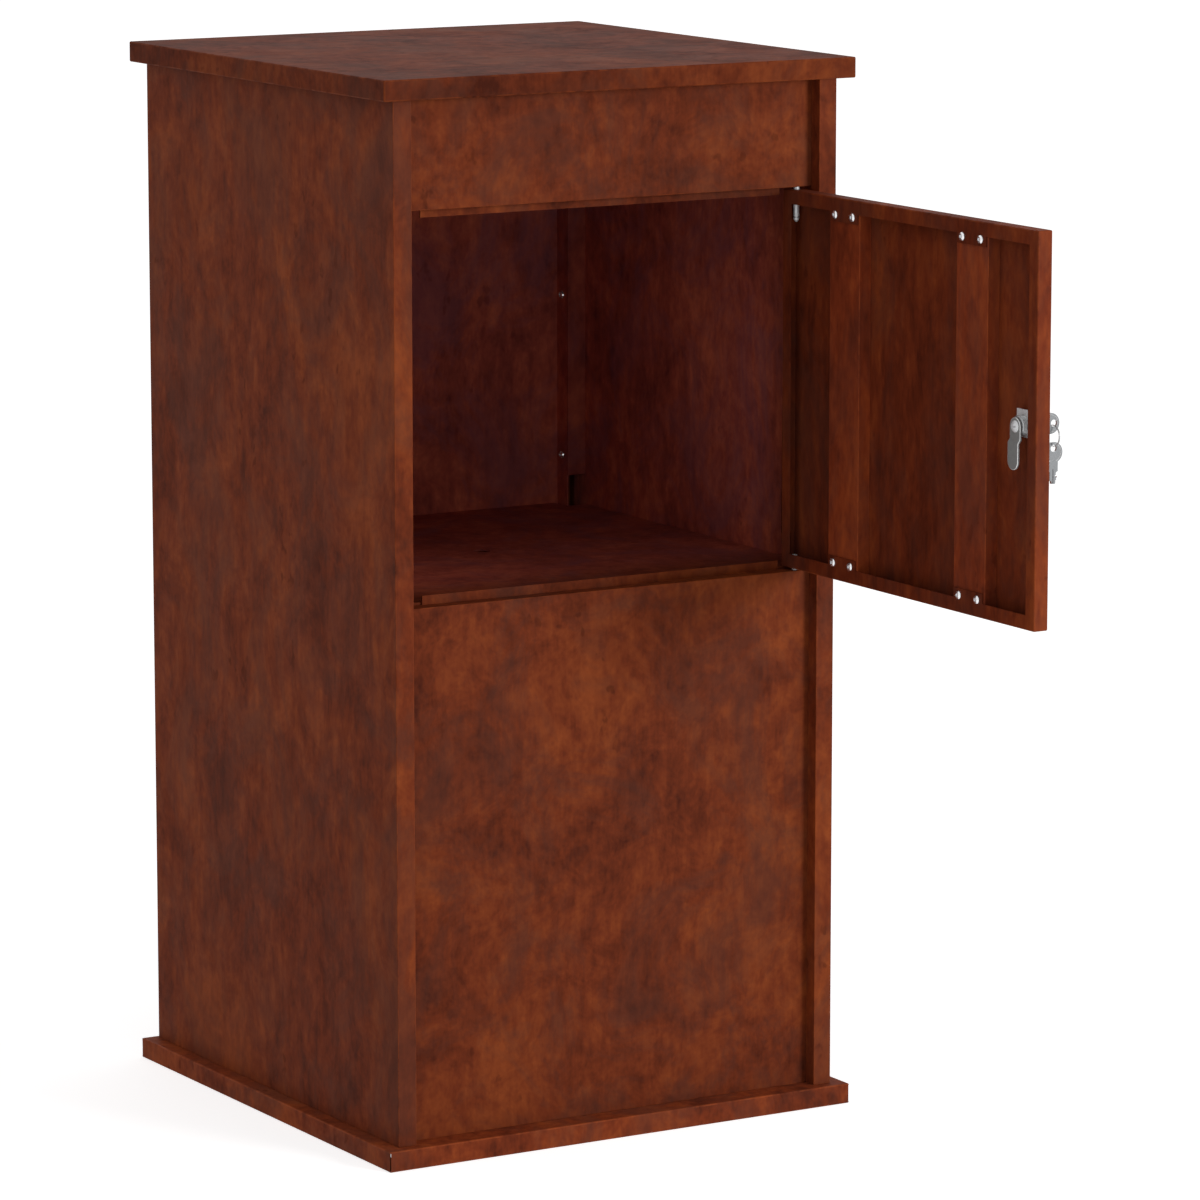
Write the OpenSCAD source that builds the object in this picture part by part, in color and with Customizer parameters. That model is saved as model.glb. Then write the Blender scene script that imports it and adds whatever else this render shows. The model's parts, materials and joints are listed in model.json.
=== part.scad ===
// Free-standing parcel mailbox folded from weathering-steel sheet, drawn with its parcel door open.
// +Z is up, the door side faces -Y and the hinge is on the +X side.
// The origin is the middle of the base pan's outline, at ground level.

/* [Cabinet] */
// Width of the roof and base pans
pan_width = 360; // [300:5:430]
// Depth of the roof and base pans
pan_depth = 365; // [300:5:430]
// Height from the ground to the top of the roof
total_height = 720; // [580:10:860]
// Height of the folded edge of the roof and base pans
pan_edge = 14; // [11:1:17]
// Thickness of the folded sheet
sheet = 1; // [0.8:0.1:1.2]
// How far the pans stand out past each side
side_overhang = 10.5; // [8.5:0.5:12.5]
// How far the pans stand out past the front
front_overhang = 7.5; // [6:0.5:9]
// How far the pans stand out past the back
rear_overhang = 5.5; // [4.5:0.5:6.5]
// Width of the foot flange turned in under the base pan
foot_flange = 18; // [14:1:22]
// Width of the open slit at each corner of the base pan
corner_slit = 0.8; // [0.6:0.1:1]
// Width of the stiffening flanges turned in at panel ends
end_flange = 13; // [10:1:16]
// Side to side spacing of the anchor holes
anchor_spacing_x = 240; // [192:4:260]
// Front to back spacing of the anchor holes
anchor_spacing_y = 240; // [192:4:260]
// Radius of the anchor holes
anchor_radius = 4.5; // [3.6:0.1:5.4]
// Distance from the front and back of the body to the base screws
base_screw_inset = 50; // [40:1:60]

/* [Front] */
// Width of the post face folded along each side panel
post_width = 13.5; // [11:0.5:16]
// Depth of the front posts, which sets back the front panels
post_depth = 10; // [8:0.5:12]
// Height of the header panel that shows above the door
header_height = 73; // [58:1:88]
// Height of the parcel opening
opening_height = 261; // [209:1:313]
// Height of the stop lips at the top and bottom of the opening
stop_lip = 6; // [5:0.5:7]
// Distance from each post to the end of a stop lip
stop_lip_inset = 18; // [16:1:21]

/* [Back] */
// Depth of the rear posts, which sets back the back panel
rear_post_depth = 7; // [6:0.5:8]
// Depth of the back panel's side flanges
back_flange = 15; // [12:1:18]
// Height above the parcel floor where the corner brackets end
bracket_lift = 21.5; // [17:0.5:26]
// Height above the parcel floor of the lowest corner screw
rear_screw_first = 35.5; // [30:0.5:42]
// Spacing of the corner screws
rear_screw_pitch = 116.5; // [94:0.5:139]
// Width of the letter slot
slot_width = 240; // [192:1:270]
// Height of the letter slot
slot_height = 30; // [24:1:36]
// Distance from the top of the body down to the letter slot
slot_drop = 50; // [40:1:60]
// How far the slot flap laps past each side and the bottom of the slot
flap_lap = 6; // [4.8:0.2:7.2]
// Depth of the finger lip along the bottom of the flap
flap_lip = 4.5; // [3.6:0.1:5.4]
// Radius of the flap's rod
rod_radius = 1.4; // [1.2:0.1:1.6]
// Outer radius of the flap's curled barrel
knuckle = 2.5; // [2.2:0.1:2.9]
// Thickness of the lugs that hold the rod
lug_thick = 2; // [1.6:0.1:2.4]
// How far the guard behind the slot reaches into the cabinet
hood_reach = 28; // [22:1:32]
// How far the guard stands past each end of the slot
hood_lap = 8; // [6.5:0.5:9.5]
// Height of the guard above the slot
hood_rise = 16; // [14:1:19]

/* [Parcel floor] */
// Height of the floor above the lower edge of the opening
floor_rise = 1.5; // [1.2:0.1:1.8]
// Height of the floor tray's turned-down edges
floor_edge = 15; // [12:1:18]
// Diameter of the drain hole
drain_hole = 11; // [9:0.5:13]

/* [Door] */
// Thickness of the folded door
door_thickness = 11; // [9:0.5:13]
// Gap above and below the door
door_gap = 2; // [1.6:0.1:2.4]
// Gap between the door and the post on the hinge side
hinge_gap = 1.2; // [1:0.1:1.4]
// Gap between the door and the post on the lock side
lock_gap = 10.8; // [9:0.2:12.8]
// Width of the lips turned in around the door
door_lip = 9.5; // [8:0.5:11]
// Depth of the tabs that hold the stiffeners
tab_depth = 16; // [14:0.5:19]
// Width of the door stiffeners
stiffener_width = 36; // [30:1:43]
// Distance from each door edge to the middle of a stiffener
stiffener_inset = 75; // [60:1:90]
// Spacing of the two rivets at each stiffener end
rivet_pitch = 21; // [17:1:24]
// Radius of the rivet heads
rivet_head = 2.9; // [2.4:0.1:3.4]
// Radius of the rivet shanks
rivet_shank = 1.6; // [1.3:0.1:1.9]
// Angle that the door is drawn open
door_open = 90; // [72:1:98]

/* [Hinge] */
// Distance from the door's hinge edge to the hinge axis
pin_inset = 7.3; // [6.8:0.1:8.7]
// Distance from the door's outer face to the hinge axis
pin_setback = 5; // [4.4:0.1:5.6]
// Radius of the hinge pins
pin_radius = 2; // [1.6:0.1:2.4]
// Length of the upper hinge pin
pin_length = 27; // [22:1:32]
// Height of the upper finger notch in the door's hinge edge
notch_height = 10.5; // [8.5:0.5:12.5]
// Height of the lower finger notch
low_notch_height = 13; // [10.5:0.5:15.5]
// Width of the finger notches
notch_width = 6; // [4.8:0.2:7]
// Wall of the bushes that carry the pins
bush_wall = 1; // [0.8:0.1:1.2]
// Thickness of the bush flanges
bush_flange = 1.5; // [1.2:0.1:1.8]

/* [Lock] */
// Distance from the door's lip to the lock axis
lock_inset = 12.5; // [10.4:0.1:14.6]
// Height of the lock axis above the door's middle
lock_rise = 1.5; // [0:0.5:6]
// Radius of the lock's round face
face_radius = 10; // [8.4:0.2:12]
// Thickness of the lock's round face
face_thick = 2.5; // [2:0.1:3]
// Radius of the lock barrel
barrel_radius = 6.9; // [5.9:0.1:8.2]
// Radius of the turning plug
plug_radius = 4.5; // [3.9:0.1:5.2]
// Thickness of the retaining clip
clip_thick = 1.2; // [1:0.1:1.4]
// Height of the retaining clip
clip_height = 18; // [16:0.5:21]
// Height of the clip's middle above the lock axis
clip_rise = 1.5; // [0:0.1:1.8]
// Length of the cam from the lock axis to its tip
cam_reach = 28; // [26.5:0.5:31]
// Width of the cam
cam_width = 11.6; // [10:0.2:14]
// Thickness of the cam
cam_thick = 1.6; // [1.3:0.1:1.9]
// Offset between the two ends of the cranked cam
cam_crank = 1.6; // [1.3:0.1:1.9]
// Radius of the cam screw's head
cam_head_radius = 4; // [3.3:0.1:4.8]
// Radius of a key's bow
bow_radius = 6.8; // [5.8:0.1:8]
// Thickness of a key
key_thick = 1.8; // [1.5:0.1:2.1]
// Width of a key's blade
blade_width = 6; // [5:0.2:7.2]
// Length of a key's blade
blade_length = 8; // [6.8:0.2:9.6]
// Length of a key's neck
neck_length = 5.5; // [4.6:0.1:6.6]
// Radius of the hole in a key's bow
bow_hole = 2.3; // [2:0.1:2.7]
// Mean radius of the key ring
ring_radius = 6.5; // [5.5:0.1:7.8]
// Radius of the key ring's wire
wire = 0.6; // [0.5:0.05:0.7]

/* [Fasteners] */
// Shank radius of the corner screws
corner_shank = 1.5; // [1.25:0.05:1.8]
// Head radius of the corner screws
corner_head = 3; // [2.5:0.1:3.6]
// Corner radius of the corner nuts
corner_nut = 3.1; // [2.8:0.1:3.7]
// Thickness of the corner nuts
corner_nut_thick = 2.4; // [2:0.1:2.9]
// Shank radius of the base screws
base_shank = 2.5; // [2.1:0.1:3]
// Head radius of the base screws
base_head = 4.75; // [4:0.05:5.7]
// Corner radius of the base nuts
base_nut = 4.6; // [4:0.1:5.5]
// Thickness of the base nuts
base_nut_thick = 4; // [3.3:0.1:4.8]
// Sides of each circle, divided by four
smooth = 12; // [8:1:16]

/* [Hidden] */
$fn = 4 * smooth;

rust = [0.43, 0.20, 0.12];
rust_dark = [0.33, 0.15, 0.10];
steel = [0.72, 0.73, 0.74];

cut = 1;                 // how far a cutting shape runs past what it cuts
fit = 0.05;              // radial running clearance
seat = 0.3;              // clearance between neighbouring sheets

// Cabinet planes
body_half = pan_width / 2 - side_overhang;
front_y = -pan_depth / 2 + front_overhang;
rear_y = pan_depth / 2 - rear_overhang;
floor_z = pan_edge;                       // top of the base pan
top_z = total_height - sheet;             // underside of the roof plate
inner_half = body_half - sheet;
clear_half = body_half - post_width;      // inner face of the posts
panel_y = front_y + post_depth;           // front face of the header and lower panels
back_y = rear_y - rear_post_depth;        // rear face of the back panel

// Opening and door
opening_top = total_height - pan_edge - header_height;
opening_bottom = opening_top - opening_height;
door_top = opening_top - door_gap;
door_bottom = opening_bottom + door_gap;
door_mid = (door_top + door_bottom) / 2;
door_width = 2 * clear_half - hinge_gap - lock_gap;
pin_x = clear_half - hinge_gap - pin_inset;
pin_y = panel_y + pin_setback;
ledge_depth = door_thickness + seat + sheet;   // depth of the ledges around the opening
stop_half = clear_half - stop_lip_inset;

// Door frame: origin on the hinge axis, +X to the hinge edge, -Y to the outer face
hinge_edge = pin_inset;
free_edge = pin_inset - door_width;
outer_face = -pin_setback;
lip_face = outer_face + door_thickness;
stiffener_a = hinge_edge - stiffener_inset;
stiffener_b = free_edge + stiffener_inset;
tab_margin = 3;                            // sheet left around a rivet head
tab_width = rivet_pitch + 2 * (rivet_head + tab_margin);
rivet_from_edge = tab_depth - rivet_head - tab_margin / 2;
pin_top_z = opening_top + sheet + pin_radius;
notch_top = door_top - door_lip;
bush_flange_radius = pin_setback - sheet;  // seats against the inside of the door's face

// Lock frame: origin on the lock axis at the door's outer face
lock_x = free_edge + door_lip + lock_inset;
lock_z = door_mid + lock_rise;
cam_clear = 1.2;                           // clearance of the cam's tip over the door lip
cam_bend = sqrt(pow(lock_inset, 2) - pow(cam_width / 2, 2)) - 0.1;   // keeps the crank inside the lip as it turns
cam_tip_back = door_thickness + cam_clear;
cam_root_back = cam_tip_back - cam_crank;
cam_slope = min(1.5 * cam_crank, cam_bend - cam_head_radius - 0.3 * cam_thick - fit);   // clear of the screw's head
cam_root_face = cam_root_back + cam_thick;
barrel_end = cam_root_back - seat;
clip_half_width = barrel_radius + 0.6;
clip_face = (sheet + barrel_end) / 2;
square_half = plug_radius / 2;
screw_radius = square_half - 0.75;
cam_head_thick = cam_head_radius / 2;
bow_rim = 1.8;                             // metal left outside the bow's hole
bow_hole_offset = bow_radius - bow_hole - bow_rim;
keyway_gap = 0.1;
hang_gap = 0.06;
key_bow_y = -face_thick - neck_length - bow_radius;
ring_y = key_bow_y - bow_hole_offset;
ring_top_z = -bow_hole + wire + hang_gap;
ring_mid_z = ring_top_z - ring_radius;
ring_low_z = ring_mid_z - ring_radius;
spare_hole_z = ring_low_z - bow_hole + wire + hang_gap;
spare_bow_z = spare_hole_z - bow_hole_offset;

// Latch jamb beside the door's free edge
jamb_gap = 2.2;
jamb_back = pin_y + lip_face - seat + cam_clear - 0.2;   // rear face of the flange the cam closes behind
jamb_web = 20;

// Floor tray and rails
tray_top = opening_bottom + floor_rise;
tray_front = panel_y + ledge_depth + seat;
tray_back = back_y - sheet - seat;
tray_half = inner_half - 0.7;
tray_notch = back_flange + 2 * sheet;
tray_low = tray_top - floor_edge;
rail_width = 16;

// Back
bracket_low = tray_top + bracket_lift;
bracket_high = top_z - 20;
flange_y = back_y - back_flange;
screw_y = back_y - back_flange / 2;
rear_screw_z = [for (i = [0:2]) tray_top + rear_screw_first + i * rear_screw_pitch];
slot_top = top_z - slot_drop;
slot_low = slot_top - slot_height;
rod_y = back_y + seat + knuckle;
rod_z = slot_top + 2 * knuckle;
flap_half = slot_width / 2 + flap_lap;
flap_low = slot_low - flap_lap;
lug_gap = 0.5;

// Base fasteners
base_screw_x = inner_half - end_flange / 2;
base_screw_y = (rear_y - front_y) / 2 - base_screw_inset;
base_mid_y = (rear_y + front_y) / 2;

// ---- helpers ----------------------------------------------------------

// box given by its low and high corners
module block(low, high) {
  translate(low) cube([high[0] - low[0], high[1] - low[1], high[2] - low[2]]);
}

module mirrored() {
  children();
  mirror([1, 0, 0]) children();
}

module on_door() {
  translate([pin_x, pin_y, 0]) rotate([0, 0, door_open]) children();
}

// lock axis runs along +Y of the door, from the outer face inwards
module on_lock() {
  on_door() translate([lock_x, outer_face, lock_z]) children();
}

// cylinder along +Y from y0 to y1
module rod_along_y(r, y0, y1) {
  translate([0, y0, 0]) rotate([-90, 0, 0]) cylinder(r = r, h = y1 - y0);
}

// cylinder along +X from x0 to x1
module rod_along_x(r, x0, x1) {
  translate([x0, 0, 0]) rotate([0, 90, 0]) cylinder(r = r, h = x1 - x0);
}

// round head with a domed top, seated on z = 0
module dome(r, h) {
  ball = (r * r + h * h) / (2 * h);
  intersection() {
    translate([0, 0, h - ball]) sphere(r = ball);
    cylinder(r = r + cut, h = 2 * h);
  }
}

module hexagon(r, h) {
  cylinder(r = r, h = h, $fn = 6);
}

// ---- roof and base ----------------------------------------------------

// folded pan standing on z = 0, its plate at the bottom and its edge rising
module pan(lip) {
  half_x = pan_width / 2;
  half_y = pan_depth / 2;
  difference() {
    block([-half_x, -half_y, 0], [half_x, half_y, pan_edge]);
    block([-half_x + sheet, -half_y + sheet, sheet], [half_x - sheet, half_y - sheet, pan_edge - sheet]);
    block([-half_x + lip[0], -half_y + lip[1], sheet], [half_x - lip[0], half_y - lip[2], pan_edge + cut]);
  }
}

module roof_cap() {
  color(rust)
  translate([0, 0, total_height]) mirror([0, 0, 1])
  pan([side_overhang - seat, front_overhang - seat, rear_overhang - seat]);
}

module base_pan() {
  color(rust)
  difference() {
    translate([0, 0, pan_edge]) mirror([0, 0, 1]) pan([foot_flange, foot_flange, foot_flange]);
    for (sx = [-1, 1], sy = [-1, 1]) {
      translate([sx * pan_width / 2, sy * pan_depth / 2, sheet])
      rotate([0, 0, sx * sy * 45])
      translate([-3 * sheet, -corner_slit / 2, 0])
      cube([6 * sheet, corner_slit, pan_edge - 2 * sheet]);
      translate([sx * anchor_spacing_x / 2, sy * anchor_spacing_y / 2, pan_edge - sheet - cut])
      cylinder(r = anchor_radius, h = sheet + 2 * cut);
      translate([sx * base_screw_x, base_mid_y + sy * base_screw_y, pan_edge - sheet - cut])
      cylinder(r = base_shank + fit, h = sheet + 2 * cut);
    }
  }
}

module base_fastener_places() {
  for (sx = [-1, 1], sy = [-1, 1])
    translate([sx * base_screw_x, base_mid_y + sy * base_screw_y, pan_edge]) children();
}

module base_screws() {
  color(steel)
  base_fastener_places() {
    translate([0, 0, sheet]) dome(base_head, 0.6 * base_head);
    translate([0, 0, -sheet - base_nut_thick - sheet])
    cylinder(r = base_shank, h = base_nut_thick + 3 * sheet + sheet / 2);
  }
}

module base_nuts() {
  color(steel)
  base_fastener_places()
  translate([0, 0, -sheet - base_nut_thick])
  difference() {
    hexagon(base_nut, base_nut_thick);
    translate([0, 0, -cut]) cylinder(r = base_shank + fit, h = base_nut_thick + 2 * cut);
  }
}

// ---- side panels ------------------------------------------------------

// right-hand side panel; the left one is its mirror image
module side_panel() {
  difference() {
    union() {
      block([inner_half, front_y, floor_z], [body_half, rear_y, top_z]);
      block([clear_half, front_y, floor_z], [body_half, front_y + sheet, top_z]);
      block([clear_half, front_y, floor_z], [clear_half + sheet, panel_y, top_z]);
      block([clear_half, rear_y - sheet, floor_z], [body_half, rear_y, top_z]);
      block([clear_half, back_y, floor_z], [clear_half + sheet, rear_y, top_z]);
      for (z = [floor_z, top_z - sheet])
        block([inner_half - end_flange, panel_y + 2 * end_flange, z],
              [inner_half + sheet / 2, flange_y - 2 * end_flange, z + sheet]);
    }
    for (sy = [-1, 1])
      translate([base_screw_x, base_mid_y + sy * base_screw_y, floor_z - cut])
      cylinder(r = base_shank + fit, h = sheet + 2 * cut);
  }
}

module right_side_panel() {
  color(rust) side_panel();
}

module left_side_panel() {
  color(rust) mirror([1, 0, 0]) side_panel();
}

// ---- front panels -----------------------------------------------------

// folded edge of a front panel at the opening: a ledge, then a stop lip
module opening_edge(z, up) {
  s = up ? 1 : -1;
  low = up ? z - sheet : z;
  half = inner_half - seat;
  block([-half, panel_y, low], [half, panel_y + ledge_depth, low + sheet]);
  lip_a = z + s * stop_lip;
  block([-stop_half, panel_y + ledge_depth - sheet, min(z, lip_a)],
        [stop_half, panel_y + ledge_depth, max(z, lip_a) + (up ? 0 : sheet / 2)]);
}

module pin_hole(z) {
  translate([pin_x, pin_y, z - cut]) cylinder(r = pin_radius + fit, h = sheet + 2 * cut);
}

module header_panel() {
  half = inner_half - seat;
  color(rust)
  difference() {
    union() {
      block([-half, panel_y, opening_top], [half, panel_y + sheet, top_z]);
      opening_edge(opening_top, false);
      block([-half, panel_y, top_z - sheet], [half, panel_y + end_flange, top_z]);
    }
    pin_hole(opening_top);
  }
}

module lower_front_panel() {
  half = inner_half - seat;
  color(rust)
  difference() {
    union() {
      block([-half, panel_y, floor_z], [half, panel_y + sheet, opening_bottom]);
      opening_edge(opening_bottom, true);
      block([-half, panel_y, floor_z], [half, panel_y + end_flange, floor_z + sheet]);
    }
    pin_hole(opening_bottom - sheet);
  }
}

// angle on the left wall; the cam turns in behind its front flange
module latch_jamb() {
  color(rust)
  union() {
    block([-inner_half, jamb_back - sheet, tray_top],
          [-clear_half + lock_gap - jamb_gap, jamb_back, opening_top]);
    block([-inner_half, jamb_back - sheet, tray_top], [-inner_half + sheet, jamb_back + jamb_web, opening_top]);
  }
}

// ---- parcel floor -----------------------------------------------------

module tray_outline(inset) {
  half = tray_half - inset;
  polygon([[-half, tray_front + inset], [half, tray_front + inset],
    [half, tray_back - tray_notch - inset], [half - tray_notch, tray_back - tray_notch - inset],
    [half - tray_notch, tray_back - inset], [-half + tray_notch, tray_back - inset],
    [-half + tray_notch, tray_back - tray_notch - inset], [-half, tray_back - tray_notch - inset]]);
}

module floor_pan() {
  middle = (tray_front + tray_back) / 2;
  color(rust_dark)
  difference() {
    translate([0, 0, tray_low]) linear_extrude(height = floor_edge) tray_outline(0);
    translate([0, 0, tray_low - cut]) linear_extrude(height = floor_edge - sheet + cut) tray_outline(sheet);
    translate([0, middle, tray_low]) cylinder(r = drain_hole / 2, h = floor_edge + cut);
  }
}

module floor_rail() {
  block([inner_half - rail_width, tray_front + 2 * end_flange, tray_low - sheet],
        [inner_half, flange_y - 2 * end_flange, tray_low]);
  block([inner_half - sheet, tray_front + 2 * end_flange, tray_low - rail_width],
        [inner_half, flange_y - 2 * end_flange, tray_low]);
}

module floor_rail_right() {
  color(rust_dark) union() floor_rail();
}

module floor_rail_left() {
  color(rust_dark) mirror([1, 0, 0]) union() floor_rail();
}

// ---- back -------------------------------------------------------------

module back_panel() {
  color(rust)
  difference() {
    union() {
      block([-clear_half, back_y - sheet, floor_z], [clear_half, back_y, top_z]);
      mirrored()
      block([clear_half - 2 * sheet, flange_y, floor_z], [clear_half - sheet, back_y, top_z]);
    }
    block([-slot_width / 2, back_y - sheet - cut, slot_low], [slot_width / 2, back_y + cut, slot_top]);
    mirrored()
    for (z = rear_screw_z)
      translate([clear_half - 2 * sheet, screw_y, z]) rod_along_x(corner_shank + fit, -cut, sheet + cut);
  }
}

// angle that ties the back panel's flange to the side wall
module rear_bracket() {
  difference() {
    union() {
      block([clear_half - sheet, flange_y - sheet, bracket_low], [clear_half, back_y - sheet, bracket_high]);
      block([clear_half - 2 * sheet, flange_y - sheet, bracket_low], [inner_half, flange_y, bracket_high]);
    }
    for (z = rear_screw_z)
      translate([clear_half - sheet, screw_y, z]) rod_along_x(corner_shank + fit, -cut, sheet + cut);
  }
}

module rear_bracket_right() {
  color(rust) rear_bracket();
}

module rear_bracket_left() {
  color(rust) mirror([1, 0, 0]) rear_bracket();
}

module rear_screws() {
  color(steel)
  mirrored()
  for (z = rear_screw_z)
    translate([clear_half - 2 * sheet, screw_y, z]) {
      rotate([0, -90, 0]) dome(corner_head, 0.6 * corner_head);
      rod_along_x(corner_shank, -sheet / 2, 3 * sheet + corner_nut_thick);
    }
}

module rear_nuts() {
  color(steel)
  mirrored()
  for (z = rear_screw_z)
    translate([clear_half, screw_y, z])
    rotate([0, 90, 0])
    difference() {
      hexagon(corner_nut, corner_nut_thick);
      translate([0, 0, -cut]) cylinder(r = corner_shank + fit, h = corner_nut_thick + 2 * cut);
    }
}

// sloping guard behind the letter slot
module slot_hood() {
  half = slot_width / 2 + hood_lap;
  y0 = back_y - sheet;
  z_high = slot_top + hood_rise;
  z_low = slot_low;
  guard = [[y0, z_high], [y0, z_high - end_flange], [y0 - sheet, z_high - end_flange], [y0 - sheet, z_high - sheet],
    [y0 - hood_reach, z_low], [y0 - hood_reach - sheet, z_low], [y0 - hood_reach - sheet, z_low + sheet / 2],
    [y0 - sheet, z_high]];
  cheek = [[y0, z_high], [y0 - sheet, z_high], [y0 - hood_reach - sheet, z_low + sheet / 2],
    [y0 - hood_reach - sheet, z_low], [y0, z_low]];
  color(rust_dark)
  union() {
    translate([-half, 0, 0]) rotate([90, 0, 90]) linear_extrude(height = 2 * half) polygon(guard);
    for (x = [-half, half - sheet])
      translate([x, 0, 0]) rotate([90, 0, 90]) linear_extrude(height = sheet) polygon(cheek);
  }
}

module flap_lugs() {
  x0 = flap_half + lug_gap;
  color(rust)
  mirrored()
  difference() {
    union() {
      block([x0, back_y, rod_z - knuckle], [x0 + lug_thick, rod_y, rod_z + knuckle]);
      translate([0, rod_y, rod_z]) rod_along_x(knuckle, x0, x0 + lug_thick);
    }
    translate([0, rod_y, rod_z]) rod_along_x(rod_radius + fit, x0 - cut, x0 + lug_thick + cut);
  }
}

module flap_rod() {
  x1 = flap_half + lug_gap + lug_thick + 1;
  color(steel)
  translate([0, rod_y, rod_z]) rod_along_x(rod_radius, -x1, x1);
}

module slot_flap() {
  color(rust)
  difference() {
    union() {
      translate([0, rod_y, rod_z]) rod_along_x(knuckle, -flap_half, flap_half);
      block([-flap_half, rod_y - knuckle, flap_low], [flap_half, rod_y - knuckle + sheet, rod_z]);
      block([-flap_half, rod_y - knuckle, flap_low], [flap_half, rod_y - knuckle + flap_lip, flap_low + sheet]);
    }
    translate([0, rod_y, rod_z]) rod_along_x(rod_radius + 2 * fit, -flap_half - cut, flap_half + cut);
  }
}

// ---- door -------------------------------------------------------------

module tab(x, bottom) {
  low = bottom ? door_bottom : door_top - tab_depth;
  block([x - tab_width / 2, lip_face - sheet, low], [x + tab_width / 2, lip_face, low + tab_depth]);
}

module rivet_places(face) {
  for (x = [stiffener_a, stiffener_b], s = [-1, 1], z = [door_bottom + rivet_from_edge, door_top - rivet_from_edge])
    translate([x + s * rivet_pitch / 2, face, z]) rotate([-90, 0, 0]) children();
}

module door_panel() {
  color(rust)
  on_door()
  difference() {
    union() {
      difference() {
        block([free_edge, outer_face, door_bottom], [hinge_edge, lip_face, door_top]);
        block([free_edge + sheet, outer_face + sheet, door_bottom + sheet],
              [hinge_edge - sheet, lip_face - sheet, door_top - sheet]);
        block([free_edge + door_lip, outer_face + sheet, door_bottom + door_lip],
              [hinge_edge - door_lip, lip_face + cut, door_top - door_lip]);
      }
      for (x = [stiffener_a, stiffener_b], bottom = [true, false]) tab(x, bottom);
    }
    rivet_places(lip_face - sheet - cut) cylinder(r = rivet_shank + fit, h = sheet + 2 * cut);
    for (z = [door_bottom, door_top - sheet])
      translate([0, 0, z - cut]) cylinder(r = pin_radius + bush_wall + fit, h = sheet + 2 * cut);
    block([hinge_edge - sheet - cut, lip_face - sheet - notch_width, notch_top - notch_height],
          [hinge_edge + cut, lip_face - sheet, notch_top]);
    block([hinge_edge - sheet - cut, lip_face - sheet - notch_width, door_bottom + door_lip],
          [hinge_edge + cut, lip_face - sheet, door_bottom + door_lip + low_notch_height]);
    translate([lock_x, 0, lock_z]) rod_along_y(barrel_radius + fit, outer_face - cut, outer_face + sheet + cut);
  }
}

// channel with its open side against the door skin
module stiffener(x) {
  low = door_bottom + sheet + seat;
  high = door_top - sheet - seat;
  face = lip_face - sheet;
  w = stiffener_width / 2;
  on_door()
  difference() {
    block([x - w, outer_face + sheet, low], [x + w, face, high]);
    block([x - w + sheet, outer_face + sheet - cut, low - cut], [x + w - sheet, face - sheet, high + cut]);
    rivet_places(face - sheet - cut) cylinder(r = rivet_shank + fit, h = sheet + 2 * cut);
  }
}

module stiffener_hinge_side() {
  color(rust_dark) stiffener(stiffener_a);
}

module stiffener_lock_side() {
  color(rust_dark) stiffener(stiffener_b);
}

module door_rivets() {
  tail = 1.4 * rivet_shank;
  color(steel)
  on_door()
  rivet_places(lip_face) {
    dome(rivet_head, 0.55 * rivet_head);
    translate([0, 0, -2 * sheet]) cylinder(r = rivet_shank, h = 2 * sheet + sheet / 4);
    translate([0, 0, -4 * sheet]) cylinder(r = tail, h = 2 * sheet);
  }
}

// ---- hinge ------------------------------------------------------------

// bush standing on z = 0 with its flange down, its sleeve through the sheet above
module hinge_bush() {
  difference() {
    union() {
      cylinder(r = bush_flange_radius, h = bush_flange);
      cylinder(r = pin_radius + bush_wall, h = bush_flange + sheet);
    }
    translate([0, 0, -cut]) cylinder(r = pin_radius + fit, h = bush_flange + sheet + 2 * cut);
  }
}

module hinge_bushes() {
  color(steel)
  on_door() {
    translate([0, 0, door_top - sheet - bush_flange]) hinge_bush();
    translate([0, 0, door_bottom + sheet + bush_flange]) mirror([0, 0, 1]) hinge_bush();
  }
}

// pin with a round top and a coned, grooved lower end
module hinge_pin_top() {
  r = pin_radius;
  low = pin_top_z - pin_length;
  color(steel)
  on_door() {
    rotate_extrude()
    polygon([[0, low], [0.3 * r, low], [r, low + r], [r, low + 1.4 * r], [0.65 * r, low + 1.5 * r],
      [0.65 * r, low + 1.8 * r], [r, low + 1.9 * r], [r, pin_top_z - 0.5 * r],
      [0.6 * r, pin_top_z], [0, pin_top_z]]);
  }
}

module hinge_pin_bottom() {
  r = pin_radius;
  low = opening_bottom - sheet - r;
  high = door_bottom + door_lip - sheet;
  color(steel)
  on_door()
  rotate_extrude()
  polygon([[0, low], [0.6 * r, low], [r, low + 0.5 * r], [r, high - 0.3 * r], [0.7 * r, high], [0, high]]);
}

// ---- lock -------------------------------------------------------------

module lock_housing() {
  color(steel)
  on_lock()
  difference() {
    union() {
      rod_along_y(face_radius, -face_thick, 0);
      rod_along_y(barrel_radius, -face_thick / 2, barrel_end);
    }
    rod_along_y(plug_radius + fit, -face_thick - cut, barrel_end + cut);
  }
}

module lock_clip() {
  color(steel)
  on_lock()
  difference() {
    block([-clip_half_width, clip_face - clip_thick, clip_rise - clip_height / 2],
          [clip_half_width, clip_face, clip_rise + clip_height / 2]);
    rod_along_y(barrel_radius + fit, clip_face - clip_thick - cut, clip_face + cut);
  }
}

module keyway(gap) {
  block([-key_thick / 2 - gap, -face_thick - cut, -blade_width / 2 - gap],
        [key_thick / 2 + gap, -face_thick + blade_length + 0.5, blade_width / 2 + gap]);
}

module lock_plug() {
  color(steel)
  on_lock()
  difference() {
    union() {
      rod_along_y(plug_radius, -face_thick, cam_root_back);
      block([-square_half, cam_root_back - sheet, -square_half],
            [square_half, cam_root_face - 0.1, square_half]);
    }
    keyway(keyway_gap);
    rod_along_y(screw_radius, -face_thick + blade_length + 1, cam_root_face + cut);
  }
}

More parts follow.
